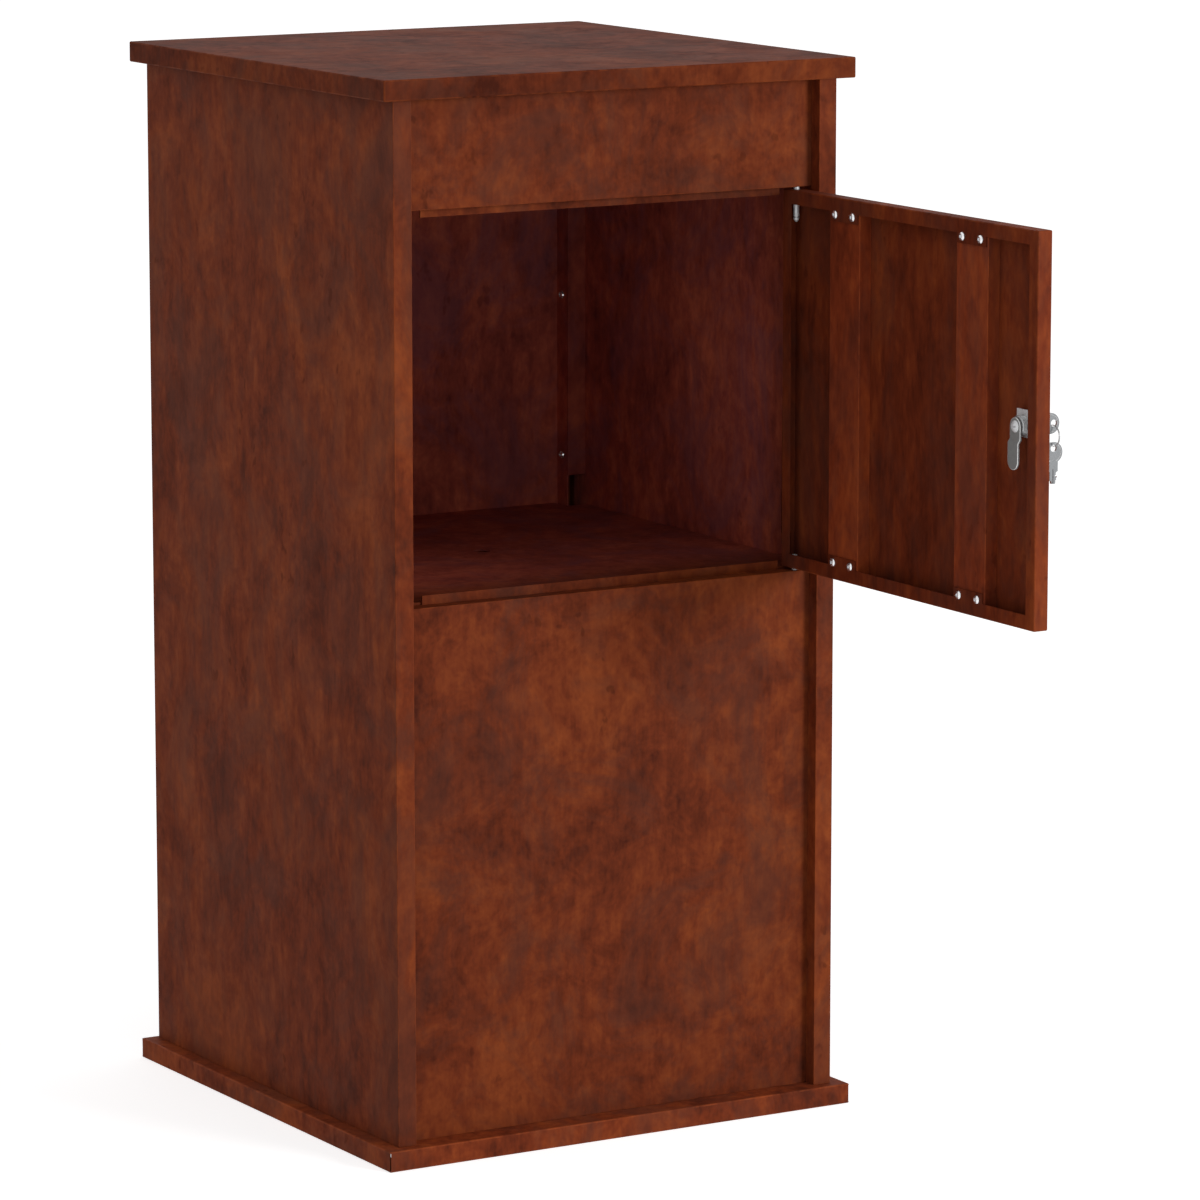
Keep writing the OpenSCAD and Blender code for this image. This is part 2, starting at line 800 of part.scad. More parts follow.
// side view of the cranked cam: [distance below the lock axis, height along the axis]
module cam_side() {
  a = cam_root_back;
  b = cam_tip_back;
  t = cam_thick;
  bend_b = cam_bend;
  bend_a = bend_b - cam_slope;
  polygon([[-cam_width, a], [bend_a, a], [bend_b, b], [cam_reach + cut, b],
    [cam_reach + cut, b + t], [bend_b - 0.3 * t, b + t], [bend_a - 0.3 * t, a + t], [-cam_width, a + t]]);
}

module lock_cam() {
  w = cam_width / 2;
  color(steel)
  on_lock()
  difference() {
    intersection() {
      translate([-cam_width, 0, 0]) rotate([0, 90, 0]) linear_extrude(height = 2 * cam_width) cam_side();
      union() {
        rod_along_y(w, 0, cam_tip_back + cam_thick + cut);
        block([-w, 0, -cam_reach + w], [w, cam_tip_back + cam_thick + cut, 0]);
        translate([0, 0, -cam_reach + w]) rod_along_y(w, 0, cam_tip_back + cam_thick + cut);
      }
    }
    block([-square_half - fit, 0, -square_half - fit], [square_half + fit, cam_tip_back + cam_thick + cut, square_half + fit]);
  }
}

module cam_screw() {
  color(steel)
  on_lock()
  difference() {
    union() {
      translate([0, cam_root_face, 0]) rotate([-90, 0, 0]) dome(cam_head_radius, cam_head_thick);
      rod_along_y(screw_radius - fit, -face_thick + blade_length + 1.5, cam_root_face + sheet / 2);
    }
    block([-cam_head_radius, cam_root_face + 0.55 * cam_head_thick, -0.5],
          [cam_head_radius, cam_root_face + 2 * cam_head_thick, 0.5]);
  }
}

// key lying in the YZ plane with its shoulder at the origin, blade towards +Y
module key_shape() {
  t = key_thick / 2;
  difference() {
    union() {
      translate([0, -neck_length - bow_radius, 0]) rod_along_x(bow_radius, -t, t);
      block([-t, -neck_length - 1, -0.62 * bow_radius], [t, -0.35 * neck_length, 0.62 * bow_radius]);
      block([-t, -neck_length, -blade_width / 2], [t, blade_length, blade_width / 2]);
    }
    translate([0, -neck_length - bow_radius - bow_hole_offset, 0]) rod_along_x(bow_hole, -t - cut, t + cut);
    for (i = [0:2])
      block([-t - cut, (0.2 + 0.27 * i) * blade_length, (0.32 - 0.06 * (i % 2)) * blade_width],
            [t + cut, (0.34 + 0.27 * i) * blade_length, blade_width]);
  }
}

module key() {
  color(steel)
  on_lock() translate([0, -face_thick - keyway_gap, 0]) key_shape();
}

module key_ring() {
  color(steel)
  on_lock()
  translate([0, ring_y - keyway_gap, ring_mid_z])
  rotate([90, 0, 0])
  rotate_extrude() translate([ring_radius, 0]) circle(r = wire);
}

module spare_key() {
  color(steel)
  on_lock()
  translate([0, ring_y - keyway_gap, spare_bow_z])
  rotate([-90, 0, 0])
  translate([0, neck_length + bow_radius, 0])
  key_shape();
}

roof_cap();
base_pan();
left_side_panel();
right_side_panel();
back_panel();
header_panel();
lower_front_panel();
latch_jamb();
floor_pan();
floor_rail_left();
floor_rail_right();
rear_bracket_left();
rear_bracket_right();
rear_screws();
rear_nuts();
base_screws();
base_nuts();
slot_hood();
flap_lugs();
flap_rod();
slot_flap();
door_panel();
stiffener_hinge_side();
stiffener_lock_side();
door_rivets();
hinge_bushes();
hinge_pin_top();
hinge_pin_bottom();
lock_housing();
lock_clip();
lock_plug();
lock_cam();
cam_screw();
key();
key_ring();
spare_key();
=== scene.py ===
"""Rusted parcel mailbox: rounded folds, turned hardware, lock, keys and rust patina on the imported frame."""

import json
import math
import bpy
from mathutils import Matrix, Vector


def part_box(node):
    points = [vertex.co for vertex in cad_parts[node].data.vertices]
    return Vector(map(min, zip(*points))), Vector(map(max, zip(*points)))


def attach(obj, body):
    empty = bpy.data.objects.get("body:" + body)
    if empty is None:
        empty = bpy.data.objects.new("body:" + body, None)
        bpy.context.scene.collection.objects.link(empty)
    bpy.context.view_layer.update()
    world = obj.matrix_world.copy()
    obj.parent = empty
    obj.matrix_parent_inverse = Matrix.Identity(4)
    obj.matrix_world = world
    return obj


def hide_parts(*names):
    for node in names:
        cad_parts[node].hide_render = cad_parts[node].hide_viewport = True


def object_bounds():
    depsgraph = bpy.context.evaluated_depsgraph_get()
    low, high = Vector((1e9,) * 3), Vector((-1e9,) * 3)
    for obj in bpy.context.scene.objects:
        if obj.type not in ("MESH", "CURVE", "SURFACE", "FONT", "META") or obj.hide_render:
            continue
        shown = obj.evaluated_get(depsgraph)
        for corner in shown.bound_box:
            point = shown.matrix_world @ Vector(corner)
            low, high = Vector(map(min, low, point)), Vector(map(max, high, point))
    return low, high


bl_info = {
    "name": "Rusted parcel mailbox",
    "version": (1, 0, 0),
    "blender": (4, 5, 0),
    "location": "View3D > Sidebar > Mailbox",
    "description": "Builds a folded steel parcel mailbox with a mottled rust patina on its packed frame",
    "category": "Object",
}

import bmesh
import bpy
from bpy.props import FloatProperty, FloatVectorProperty, IntProperty, PointerProperty
from mathutils import Matrix, Vector

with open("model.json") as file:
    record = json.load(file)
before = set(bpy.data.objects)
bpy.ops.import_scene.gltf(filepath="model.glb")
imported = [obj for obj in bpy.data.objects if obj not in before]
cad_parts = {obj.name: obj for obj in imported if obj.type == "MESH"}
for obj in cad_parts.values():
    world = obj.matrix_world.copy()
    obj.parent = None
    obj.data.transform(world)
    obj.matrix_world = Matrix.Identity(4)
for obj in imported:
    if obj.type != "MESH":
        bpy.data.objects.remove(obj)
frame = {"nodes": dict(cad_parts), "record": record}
CAD_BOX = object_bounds()
NODES = frame["nodes"]
BODY = {
    node: body
    for body, nodes in frame["record"]["behaviour"]["bodies"].items()
    for node in nodes
}
MM = 0.001
GAUGE = 1.0 * MM  # thickness of the sheet steel
RUNNING_GAP = 0.05 * MM  # round a piece that turns
LEAST_TURN = math.radians(40)  # two faces that turn by less have no corner between them
INSIDE_PAINTED_LIGHT = (2.3, 2.55, 5.3, 1)  # painted light: what the patina's colour is multiplied by inside the cabinet, a bluish lift that stands in for light
VECTOR, COLOUR, VALUE = "NodeSocketVector", "NodeSocketColor", "NodeSocketFloat"  # kinds of group socket

# Boxes and sizes that follow the frame
KEY_LOW, KEY_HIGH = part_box("key")
KEY_THICK = KEY_HIGH.y - KEY_LOW.y
BOW_RADIUS = (KEY_HIGH.z - KEY_LOW.z) / 2
PLUG_LOW, PLUG_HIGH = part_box("lock_plug")
HOUSING_LOW, HOUSING_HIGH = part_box("lock_housing")
RING_LOW, RING_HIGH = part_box("key_ring")


# -------- settings


def colour_setting(name, description, default):
    """A colour that the panel shows and lets a user change."""
    return FloatVectorProperty(
        name=name, description=description, default=default, subtype="COLOR", min=0, max=1
    )


class MailboxSizes(bpy.types.PropertyGroup):
    """Sizes of the details that are added to the frame"""

    fold_radius: FloatProperty(
        name="Fold radius",
        description="Outside radius of the folds in the sheet",
        default=1.0 * MM,
        min=0.2 * MM,
        max=2.0 * MM,
        unit="LENGTH",
    )
    cut_edge: FloatProperty(
        name="Cut edge",
        description="Rounding of the sheared edges of the sheet",
        default=0.14 * MM,
        min=0.02 * MM,
        max=0.3 * MM,
        unit="LENGTH",
    )
    fold_steps: IntProperty(
        name="Fold steps",
        description="Faces across each rounded fold",
        default=4,
        min=1,
        max=8,
    )
    thread_pitch: FloatProperty(
        name="Thread pitch",
        description="Pitch of the thread on the lock barrel",
        default=1.0 * MM,
        min=0.5 * MM,
        max=1.5 * MM,
        unit="LENGTH",
    )
    ring_turns: FloatProperty(
        name="Ring turns",
        description="Turns of wire in the split key ring",
        default=1.9,
        min=1.2,
        max=2.0,
    )


class MailboxFinish(bpy.types.PropertyGroup):
    """Colours and wear of the patina and the plating, with the painted highlight and the dust and painted
    sheen
    """

    rust_light: colour_setting("Light rust", "Lightest orange brown of the patina", (0.235, 0.050, 0.0125))
    rust_mid: colour_setting("Middle rust", "Main red brown of the patina", (0.150, 0.0275, 0.0085))
    rust_dark: colour_setting("Dark rust", "Darkest brown of the patina", (0.066, 0.0125, 0.0052))
    rust_grey: colour_setting("Grey oxide", "Grey brown of the clouded patches", (0.080, 0.0265, 0.0165))
    bright_steel: colour_setting(
        "Bright plating", "Colour of the rivets, pins, clip, corner screws and cam screw", (0.86, 0.865, 0.88)
    )
    dark_steel: colour_setting("Dark steel", "Colour of the lock's cam", (0.33, 0.345, 0.34))
    dull_steel: colour_setting(
        "Dull plating", "Colour of the nuts, base screws, bushes, flap rod and lock", (0.42, 0.425, 0.43)
    )
    key_steel: colour_setting("Key nickel", "Colour of the two keys", (0.17, 0.175, 0.18))
    ring_steel: colour_setting("Ring wire", "Colour of the key ring", (0.52, 0.525, 0.53))
    painted_edge_highlight: colour_setting("Painted edge highlight", "Colour of the painted highlight on the steel's edges", (0.9, 0.9, 0.9))
    dust_and_sheen: colour_setting("Dust and sheen", "Colour of the dust and painted sheen on the roof and inside", (0.150, 0.088, 0.075))
    spots: FloatProperty(
        name="Spots",
        description="Strength of the small dark spots",
        default=0.55,
        min=0,
        max=1,
        subtype="FACTOR",
    )
    streaks: FloatProperty(
        name="Streaks",
        description="Strength of the upright streaks",
        default=0.5,
        min=0,
        max=1,
        subtype="FACTOR",
    )


class MailboxStage(bpy.types.PropertyGroup):
    """Light, floor and camera"""

    key_power: FloatProperty(
        name="Front light",
        description="Power of the large soft light in front",
        default=46.0,
        min=0,
        max=500,
        unit="POWER",
    )
    fill: FloatProperty(
        name="Surrounding light",
        description="Strength of the even light from all sides",
        default=0.50,
        min=0,
        max=2,
    )
    lens: FloatProperty(
        name="Lens",
        description="Focal length of the camera in millimetres",
        default=182.8,
        min=20,
        max=400,
    )
    camera_place: FloatVectorProperty(
        name="Camera place",
        description="Where the camera stands",
        default=(-2.0521, -3.5969, 1.0563),
        subtype="TRANSLATION",
        unit="LENGTH",
    )
    camera_turn: FloatVectorProperty(
        name="Camera turn",
        description="How the camera is turned",
        default=(math.radians(80.188), 0.0, math.radians(-30.767)),
        subtype="EULER",
        unit="ROTATION",
    )


def sizes():
    """Sizes of the added details."""
    return bpy.context.scene.mailbox_sizes


def colours():
    """Colours and wear of the finishes, with their painted highlight and painted sheen."""
    return bpy.context.scene.mailbox_finish


# -------- modelling by hand


def deselect():
    """Leave nothing selected and no piece open."""
    if bpy.context.object and bpy.context.object.mode != "OBJECT":
        bpy.ops.object.mode_set(mode="OBJECT")
    bpy.ops.object.select_all(action="DESELECT")


def take(obj):
    """Make obj the one selected and active piece."""
    deselect()
    obj.select_set(True)
    bpy.context.view_layer.objects.active = obj


def open_piece(obj, kind="FACE"):
    """Open obj for editing with nothing in it selected."""
    take(obj)
    bpy.ops.object.mode_set(mode="EDIT")
    bpy.ops.mesh.select_mode(type=kind)
    bpy.ops.mesh.select_all(action="DESELECT")


def close_piece():
    """Leave the piece that is open for editing."""
    bpy.ops.object.mode_set(mode="OBJECT")


def pick_faces(obj, test):
    """Select the faces whose middle and normal pass the test; the piece is open."""
    shape = bmesh.from_edit_mesh(obj.data)
    shape.normal_update()
    found = 0
    for face in shape.faces:
        wanted = bool(test(face.calc_center_median(), face.normal))
        face.select_set(wanted)
        found += wanted
    shape.select_flush_mode()
    bmesh.update_edit_mesh(obj.data)
    if not found:
        raise RuntimeError(f"no face of {obj.name} passes the test")


def pick_edges(obj, test):
    """Select the edges that pass the test; the piece is open in edge mode."""
    shape = bmesh.from_edit_mesh(obj.data)
    shape.normal_update()
    shape.edges.ensure_lookup_table()
    found = 0
    for edge in shape.edges:
        wanted = len(edge.link_faces) == 2 and bool(test(edge))
        edge.select_set(wanted)
        found += wanted
    shape.select_flush_mode()
    bmesh.update_edit_mesh(obj.data)
    return found


def apply_place(obj):
    """Put a piece's place into its mesh, with the object at the origin."""
    take(obj)
    bpy.ops.object.transform_apply(location=True, rotation=True, scale=True)


def apply_modifier(obj, kind, **settings):
    """Add a modifier with its settings and apply it."""
    take(obj)
    change = obj.modifiers.new(kind.title(), kind)
    for name, value in settings.items():
        setattr(change, name, value)
    bpy.ops.object.modifier_apply(modifier=change.name)


def block(name, low, high):
    """A rectangular start between two corners."""
    low, high = Vector(low), Vector(high)
    deselect()
    bpy.ops.mesh.primitive_cube_add(size=1, location=(low + high) / 2)
    obj = bpy.context.object
    obj.name = name
    obj.scale = high - low
    apply_place(obj)
    return obj


def rod(name, radius, start, end, sides):
    """A round start along one axis, from one point to another."""
    start, end = Vector(start), Vector(end)
    deselect()
    bpy.ops.mesh.primitive_cylinder_add(
        vertices=sides, radius=radius, depth=(end - start).length, location=(start + end) / 2
    )
    obj = bpy.context.object
    obj.name = name
    obj.rotation_mode = "QUATERNION"
    obj.rotation_quaternion = (end - start).to_track_quat("Z", "Y")
    apply_place(obj)
    return obj


def turned(name, outline, foot, axis, sides):
    """A turned piece: outline lists (radius, height) from one end to the other, foot and axis place it."""
    deselect()
    bpy.ops.mesh.primitive_plane_add(size=MM, location=(0, 0, 0))
    obj = bpy.context.object
    obj.name = name
    bpy.ops.object.mode_set(mode="EDIT")
    bpy.ops.mesh.select_mode(type="VERT")
    bpy.ops.mesh.select_all(action="SELECT")
    bpy.ops.mesh.merge(type="CENTER")
    last = Vector((0, 0, 0))
    for step, (radius, height) in enumerate(outline):
        point = Vector((radius, 0, height))
        if step == 0:
            bpy.ops.transform.translate(value=point - last)
        else:
            bpy.ops.mesh.extrude_region_move(TRANSFORM_OT_translate={"value": point - last})
        last = point
    bpy.ops.mesh.select_all(action="SELECT")
    bpy.ops.mesh.spin(steps=sides, angle=2 * math.pi, center=(0, 0, 0), axis=(0, 0, 1))
    bpy.ops.mesh.select_all(action="SELECT")
    bpy.ops.mesh.remove_doubles(threshold=0.002 * MM)
    bpy.ops.mesh.select_all(action="SELECT")
    bpy.ops.mesh.normals_make_consistent(inside=False)
    close_piece()
    obj.rotation_mode = "QUATERNION"
    obj.rotation_quaternion = Vector(axis).to_track_quat("Z", "Y")
    obj.location = foot
    apply_place(obj)
    return obj


def carve(obj, cutter, operation="DIFFERENCE"):
    """Cut one piece with another, or join them, and use the second one up."""
    apply_modifier(obj, "BOOLEAN", operation=operation, solver="EXACT", object=cutter)
    bpy.data.objects.remove(cutter)


def smooth(obj, angle):
    """Smooth shading up to an angle in degrees, held flat on the wide faces."""
    take(obj)
    bpy.ops.object.shade_smooth_by_angle(angle=math.radians(angle))
    apply_modifier(obj, "WEIGHTED_NORMAL", mode="FACE_AREA", weight=80, keep_sharp=True)


def mark_folds(obj, width=math.inf):
    """Keep which selected faces, up to a width, were rounded: an attribute that the painted fold highlight
    reads.
    """
    mesh = obj.data
    chosen = []
    for face in mesh.polygons:
        ends = [mesh.edges[mesh.loops[i].edge_index].vertices for i in face.loop_indices]
        longest = max((mesh.vertices[a].co - mesh.vertices[b].co).length for a, b in ends)
        chosen.append(face.select and face.area < width * longest)
    layer = mesh.attributes.get("fold") or mesh.attributes.new("fold", "FLOAT", "FACE")
    old = [0.0] * len(chosen)
    layer.data.foreach_get("value", old)
    layer.data.foreach_set("value", [max(a, float(b)) for a, b in zip(old, chosen)])


def width_across(face, edge):
    """How wide a face is, square to one of its edges."""
    along = (edge.verts[1].co - edge.verts[0].co).normalized()
    across = face.normal.cross(along)
    reach = [vert.co.dot(across) for vert in face.verts]
    return max(reach) - min(reach)


def corner(edge):
    """cut, outer, inner or flat: what kind of corner an edge of a sheet piece is."""
    turn = edge.calc_face_angle_signed(0.0)
    if abs(turn) < LEAST_TURN:
        return "flat"
    if min(width_across(face, edge) for face in edge.link_faces) < 1.25 * GAUGE:
        return "cut"
    return "outer" if turn > 0 else "inner"


def cad_copy(node):
    """A copy of a frame node's shape, its triangles joined into whole faces."""
    obj = bpy.data.objects.new(node + "_finished", NODES[node].data.copy())
    bpy.context.scene.collection.objects.link(obj)
    obj.data.materials.clear()
    take(obj)
    bpy.ops.mesh.customdata_custom_splitnormals_clear()
    open_piece(obj, "EDGE")
    bpy.ops.mesh.select_all(action="SELECT")
    bpy.ops.mesh.remove_doubles(threshold=0.004 * MM)
    bpy.ops.mesh.dissolve_limited(angle_limit=math.radians(0.3), use_dissolve_boundaries=False)
    close_piece()
    return obj


def round_edges(obj, test, radius, steps, clamp=True):
    """Round the edges that pass the test and mark the new faces."""
    open_piece(obj, "EDGE")
    found = pick_edges(obj, test)
    if found:
        bpy.ops.mesh.bevel(
            offset_type="OFFSET", offset=radius, segments=steps, profile=0.5, affect="EDGES",
            clamp_overlap=clamp, loop_slide=False,
        )
    close_piece()
    if found:
        mark_folds(obj, radius)


def fold_sheet(node, material, least=3 * MM):
    """A folded sheet piece: its long outside folds rounded, its long sheared edges eased."""

    def outside_fold(edge):
        return edge.calc_length() > least and corner(edge) == "outer"

    def sheared_edge(edge):
        return edge.calc_length() > least and corner(edge) == "cut" and edge.calc_face_angle_signed(0.0) > 0

    obj = cad_copy(node)
    size = sizes()
    round_edges(obj, outside_fold, size.fold_radius, size.fold_steps)
    round_edges(obj, sheared_edge, size.cut_edge, 1)
    smooth(obj, 40)
    finished(obj, material, node)


def eased(node, material, radius, steps=2, angle=40, clamp=True):
    """A solid hardware piece of the frame with its sharp edges eased."""
    obj = cad_copy(node)
    limit = math.radians(angle)
    round_edges(obj, lambda e: e.calc_face_angle_signed(0.0) > limit, radius, steps, clamp)
    smooth(obj, 35)
    finished(obj, material, node)


def finished(obj, material, node):
    """Give a piece its finish and its body, and hide the frame node that it stands for."""
    obj.data.materials.clear()
    obj.data.materials.append(material)
    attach(obj, BODY[node])
    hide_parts(node)


def solids(node):
    """Boxes of the separate solids in a frame node, as (low, high) corners."""
    mesh = NODES[node].data
    numbers = {}  # place of a corner -> its number
    owner = []  # number -> a corner of the same solid

    def root(i):
        while owner[i] != i:
            i = owner[i]
        return i

    corners = []
    for vert in mesh.vertices:
        place = tuple(round(c, 6) for c in vert.co)
        if place not in numbers:
            numbers[place] = len(owner)
            owner.append(len(owner))
        corners.append(numbers[place])
    for face in mesh.polygons:
        first, *rest = [root(corners[v]) for v in face.vertices]
        for other in rest:
            owner[root(other)] = root(first)
    groups = {}
    for place, i in numbers.items():
        groups.setdefault(root(i), []).append(Vector(place))
    boxes = []
    for points in groups.values():
        low = Vector([min(p[a] for p in points) for a in range(3)])
        high = Vector([max(p[a] for p in points) for a in range(3)])
        boxes.append((low, high))
    return sorted(boxes, key=lambda b: tuple(round(c, 5) for c in b[0]))


def own_copy(obj, name, matrix):
    """A copy with its own mesh, put in place by a matrix."""
    twin = bpy.data.objects.new(name, obj.data.copy())
    bpy.context.scene.collection.objects.link(twin)
    twin.data.transform(matrix)
    return twin


def joined(pieces, name):
    """Several like pieces made one, as the frame's node is."""
    take(pieces[0])
    for piece in pieces[1:]:
        piece.select_set(True)
    bpy.ops.object.join()
    pieces[0].name = name
    return pieces[0]


# -------- shader groups


def put(tree, kind, sockets=None, **settings):
    """Add a shader node, set it up, and set or link its inputs."""
    node = tree.nodes.new(kind)
    for name, value in settings.items():
        setattr(node, name, value)
    for name, value in (sockets or {}).items():
        if isinstance(value, bpy.types.NodeSocket):
            tree.links.new(value, node.inputs[name])
        else:
            node.inputs[name].default_value = value
    return node


def new_group(name, inputs, outputs):
    """An empty shader group with its sockets, each a name and a kind."""
    tree = bpy.data.node_groups.new(name, "ShaderNodeTree")
    for way, sockets in (("INPUT", inputs), ("OUTPUT", outputs)):
        for label, kind in sockets.items():
            tree.interface.new_socket(name=label, in_out=way, socket_type=kind)
    return tree, tree.nodes.new("NodeGroupInput").outputs, tree.nodes.new("NodeGroupOutput")


def math_node(tree, operation, a, b=0.0, clamp=False):
    """One sum of two values, each a number or a socket."""
    return put(tree, "ShaderNodeMath", {0: a, 1: b}, operation=operation, use_clamp=clamp).outputs[0]


def plus(tree, a, b, clamp=False):
    """a + b"""
    return math_node(tree, "ADD", a, b, clamp)


def minus(tree, a, b):
    """a - b"""
    return math_node(tree, "SUBTRACT", a, b)


def times(tree, a, b, clamp=False):
    """a * b"""
    return math_node(tree, "MULTIPLY", a, b, clamp)


def spread(tree, value, low, high, smooth_ends=False):
    """Stretch a value so that low becomes 0 and high becomes 1."""
    ends = {"Value": value, "From Min": low, "From Max": high}
    kind = "SMOOTHSTEP" if smooth_ends else "LINEAR"
    return put(tree, "ShaderNodeMapRange", ends, interpolation_type=kind).outputs["Result"]


def noise(tree, vector, scale, detail=3.0, roughness=0.5, distortion=0.0):
    """Cloudy noise between 0 and 1; a larger scale makes finer clouds."""
    look = {"Scale": scale, "Detail": detail, "Roughness": roughness, "Distortion": distortion}
    return put(tree, "ShaderNodeTexNoise", {"Vector": vector, **look}).outputs["Fac"]


def stretched(tree, vector, scale, shift=(0, 0, 0)):
    """Coordinates that are scaled and then moved."""
    place = {"Vector": vector, "Scale": scale, "Location": shift}
    return put(tree, "ShaderNodeMapping", place).outputs["Vector"]


def moved(tree, vector, shift):
    """Coordinates that are moved, so that a pattern differs from the last one."""
    return stretched(tree, vector, (1, 1, 1), shift)


def blend_colour(tree, factor, a, b, mode="MIX"):
    """Colour a where the factor is 0 and b, or b laid over a by another mode, where it is 1."""
    node = put(tree, "ShaderNodeMix", {0: factor, 6: a, 7: b}, data_type="RGBA", blend_type=mode)
    return node.outputs[2]


def patina_group():
    """Mottled rust: clouds, blotches, flecks, upright streaks, grey haze and small dark spots."""
    name = "Rust mottling"
    if name in bpy.data.node_groups:
        return bpy.data.node_groups[name]
    tree, into, out = new_group(
        name,
        {
            "Vector": VECTOR,
            **dict.fromkeys(("Light", "Middle", "Dark", "Grey"), COLOUR),
            **dict.fromkeys(("Upright", "Streaks", "Spots", "Contrast"), VALUE),
        },
        {"Color": COLOUR, "Roughness": VALUE, "Height": VALUE},
    )
    upright = put(tree, "ShaderNodeCombineXYZ", {0: 1.0, 1: 1.0, 2: into["Upright"]}).outputs[0]
    flow = put(tree, "ShaderNodeVectorMath", {0: into["Vector"], 1: upright}, operation="MULTIPLY").outputs[0]

    # Tone: clouds, blotches, flecks and upright streaks added up; 0.62 is about their middle
    cloud = noise(tree, flow, 7.5, detail=6.0, roughness=0.68, distortion=0.6)
    cloud = spread(tree, cloud, 0.37, 0.63)
    blotch = noise(tree, moved(tree, flow, (3.1, 1.7, 0.4)), 26.0, detail=4.5, roughness=0.76, distortion=0.5)
    blotch = spread(tree, blotch, 0.37, 0.63)
    fleck = noise(tree, moved(tree, flow, (0.9, 6.2, 1.4)), 90.0, detail=2.5, roughness=0.75, distortion=0.2)
    fleck = spread(tree, fleck, 0.34, 0.66)
    drawn = stretched(tree, into["Vector"], (1, 1, 0.16))
    streak = noise(tree, drawn, 170.0, detail=2.0, roughness=0.7, distortion=0.1)
    streak = spread(tree, streak, 0.3, 0.7)
    tone = plus(tree, times(tree, cloud, 0.42), times(tree, blotch, 0.38))
    tone = plus(tree, tone, times(tree, fleck, 0.30))
    tone = plus(tree, tone, times(tree, streak, times(tree, into["Streaks"], 0.4)))
    tone = times(tree, minus(tree, tone, 0.62), into["Contrast"])
    tone = plus(tree, tone, 0.5, clamp=True)

    # Colour: dark to middle to light, then grey haze and small dark spots in loose crowds
    low = blend_colour(tree, spread(tree, tone, 0.05, 0.5), into["Dark"], into["Middle"])
    colour = blend_colour(tree, spread(tree, tone, 0.5, 0.95), low, into["Light"])
    haze = noise(tree, moved(tree, flow, (7.7, 2.2, 5.1)), 14.0, detail=5.0, roughness=0.72, distortion=0.8)
    haze = times(tree, spread(tree, haze, 0.46, 0.62), 0.5)
    colour = blend_colour(tree, haze, colour, into["Grey"])
    spots = stretched(tree, into["Vector"], (1, 1, 0.7), (1.3, 4.4, 2.8))
    spots = noise(tree, spots, 110.0, detail=2.0, distortion=0.1)
    spots = spread(tree, spots, 0.62, 0.72, smooth_ends=True)
    crowds = noise(tree, moved(tree, flow, (5.5, 0.3, 9.2)), 13.0)
    crowds = spread(tree, crowds, 0.5, 0.62, smooth_ends=True)
    spots = times(tree, times(tree, spots, crowds), into["Spots"])
    colour = blend_colour(tree, spots, colour, into["Dark"])
    tree.links.new(colour, out.inputs["Color"])

    # Surface: blotches a little smoother, spots rougher and sunk in
    rough = plus(tree, times(tree, blotch, -0.08), 0.68)
    rough = plus(tree, rough, times(tree, spots, 0.12))
    tree.links.new(rough, out.inputs["Roughness"])
    ripple = noise(tree, stretched(tree, into["Vector"], (1, 1, 0.5)), 130.0, detail=1.0, roughness=0.4)
    tree.links.new(minus(tree, ripple, times(tree, spots, 0.3)), out.inputs["Height"])
    return tree


def inside_group():
    """1 inside the cabinet's walls, 0 outside them, for a point in the frame's own coordinates: where the
    painted light inside the cabinet goes.
    """
    name = "Inside of the cabinet"
    if name in bpy.data.node_groups:
        return bpy.data.node_groups[name]
    tree, into, out = new_group(name, {"Point": VECTOR}, {"Mask": VALUE})
    low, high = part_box("left_side_panel")[0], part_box("right_side_panel")[1]
    middle = (low + high) / 2
    half = (high - low) / 2 - Vector((0.5, 0.5, 0.5)) * GAUGE  # to the middle of the sheet
    off = put(tree, "ShaderNodeVectorMath", {0: into["Point"], 1: middle}, operation="SUBTRACT").outputs[0]
    part = put(tree, "ShaderNodeSeparateXYZ", {0: off}).outputs
    begin, full = 25 * MM, 110 * MM  # depths behind the front between which the mask comes in
    mask = spread(tree, part["Y"], begin - half.y, full - half.y, smooth_ends=True)
    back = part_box("back_panel")[1].y - middle.y - 0.5 * GAUGE
    mask = times(tree, mask, math_node(tree, "LESS_THAN", part["Y"], back))
    for axis, limit in (("X", half.x), ("Z", half.z)):
        inner = math_node(tree, "LESS_THAN", math_node(tree, "ABSOLUTE", part[axis]), limit)
        mask = times(tree, mask, inner)
    tree.links.new(mask, out.inputs["Mask"])
    return tree


def fold_highlight_group():
    """Painted highlight along the rounded folds, broken up by noise, from the fold attribute."""
    name = "Fold wear"
    if name in bpy.data.node_groups:
        return bpy.data.node_groups[name]
    tree, into, out = new_group(name, {"Fold": VALUE, "Vector": VECTOR, "Amount": VALUE}, {"Mask": VALUE})
    broken = noise(tree, into["Vector"], 90.0, detail=4.0, roughness=0.6)
    broken = spread(tree, broken, 0.38, 0.62, smooth_ends=True)
    mask = times(tree, times(tree, into["Fold"], broken), into["Amount"], clamp=True)
    tree.links.new(mask, out.inputs["Mask"])
    return tree


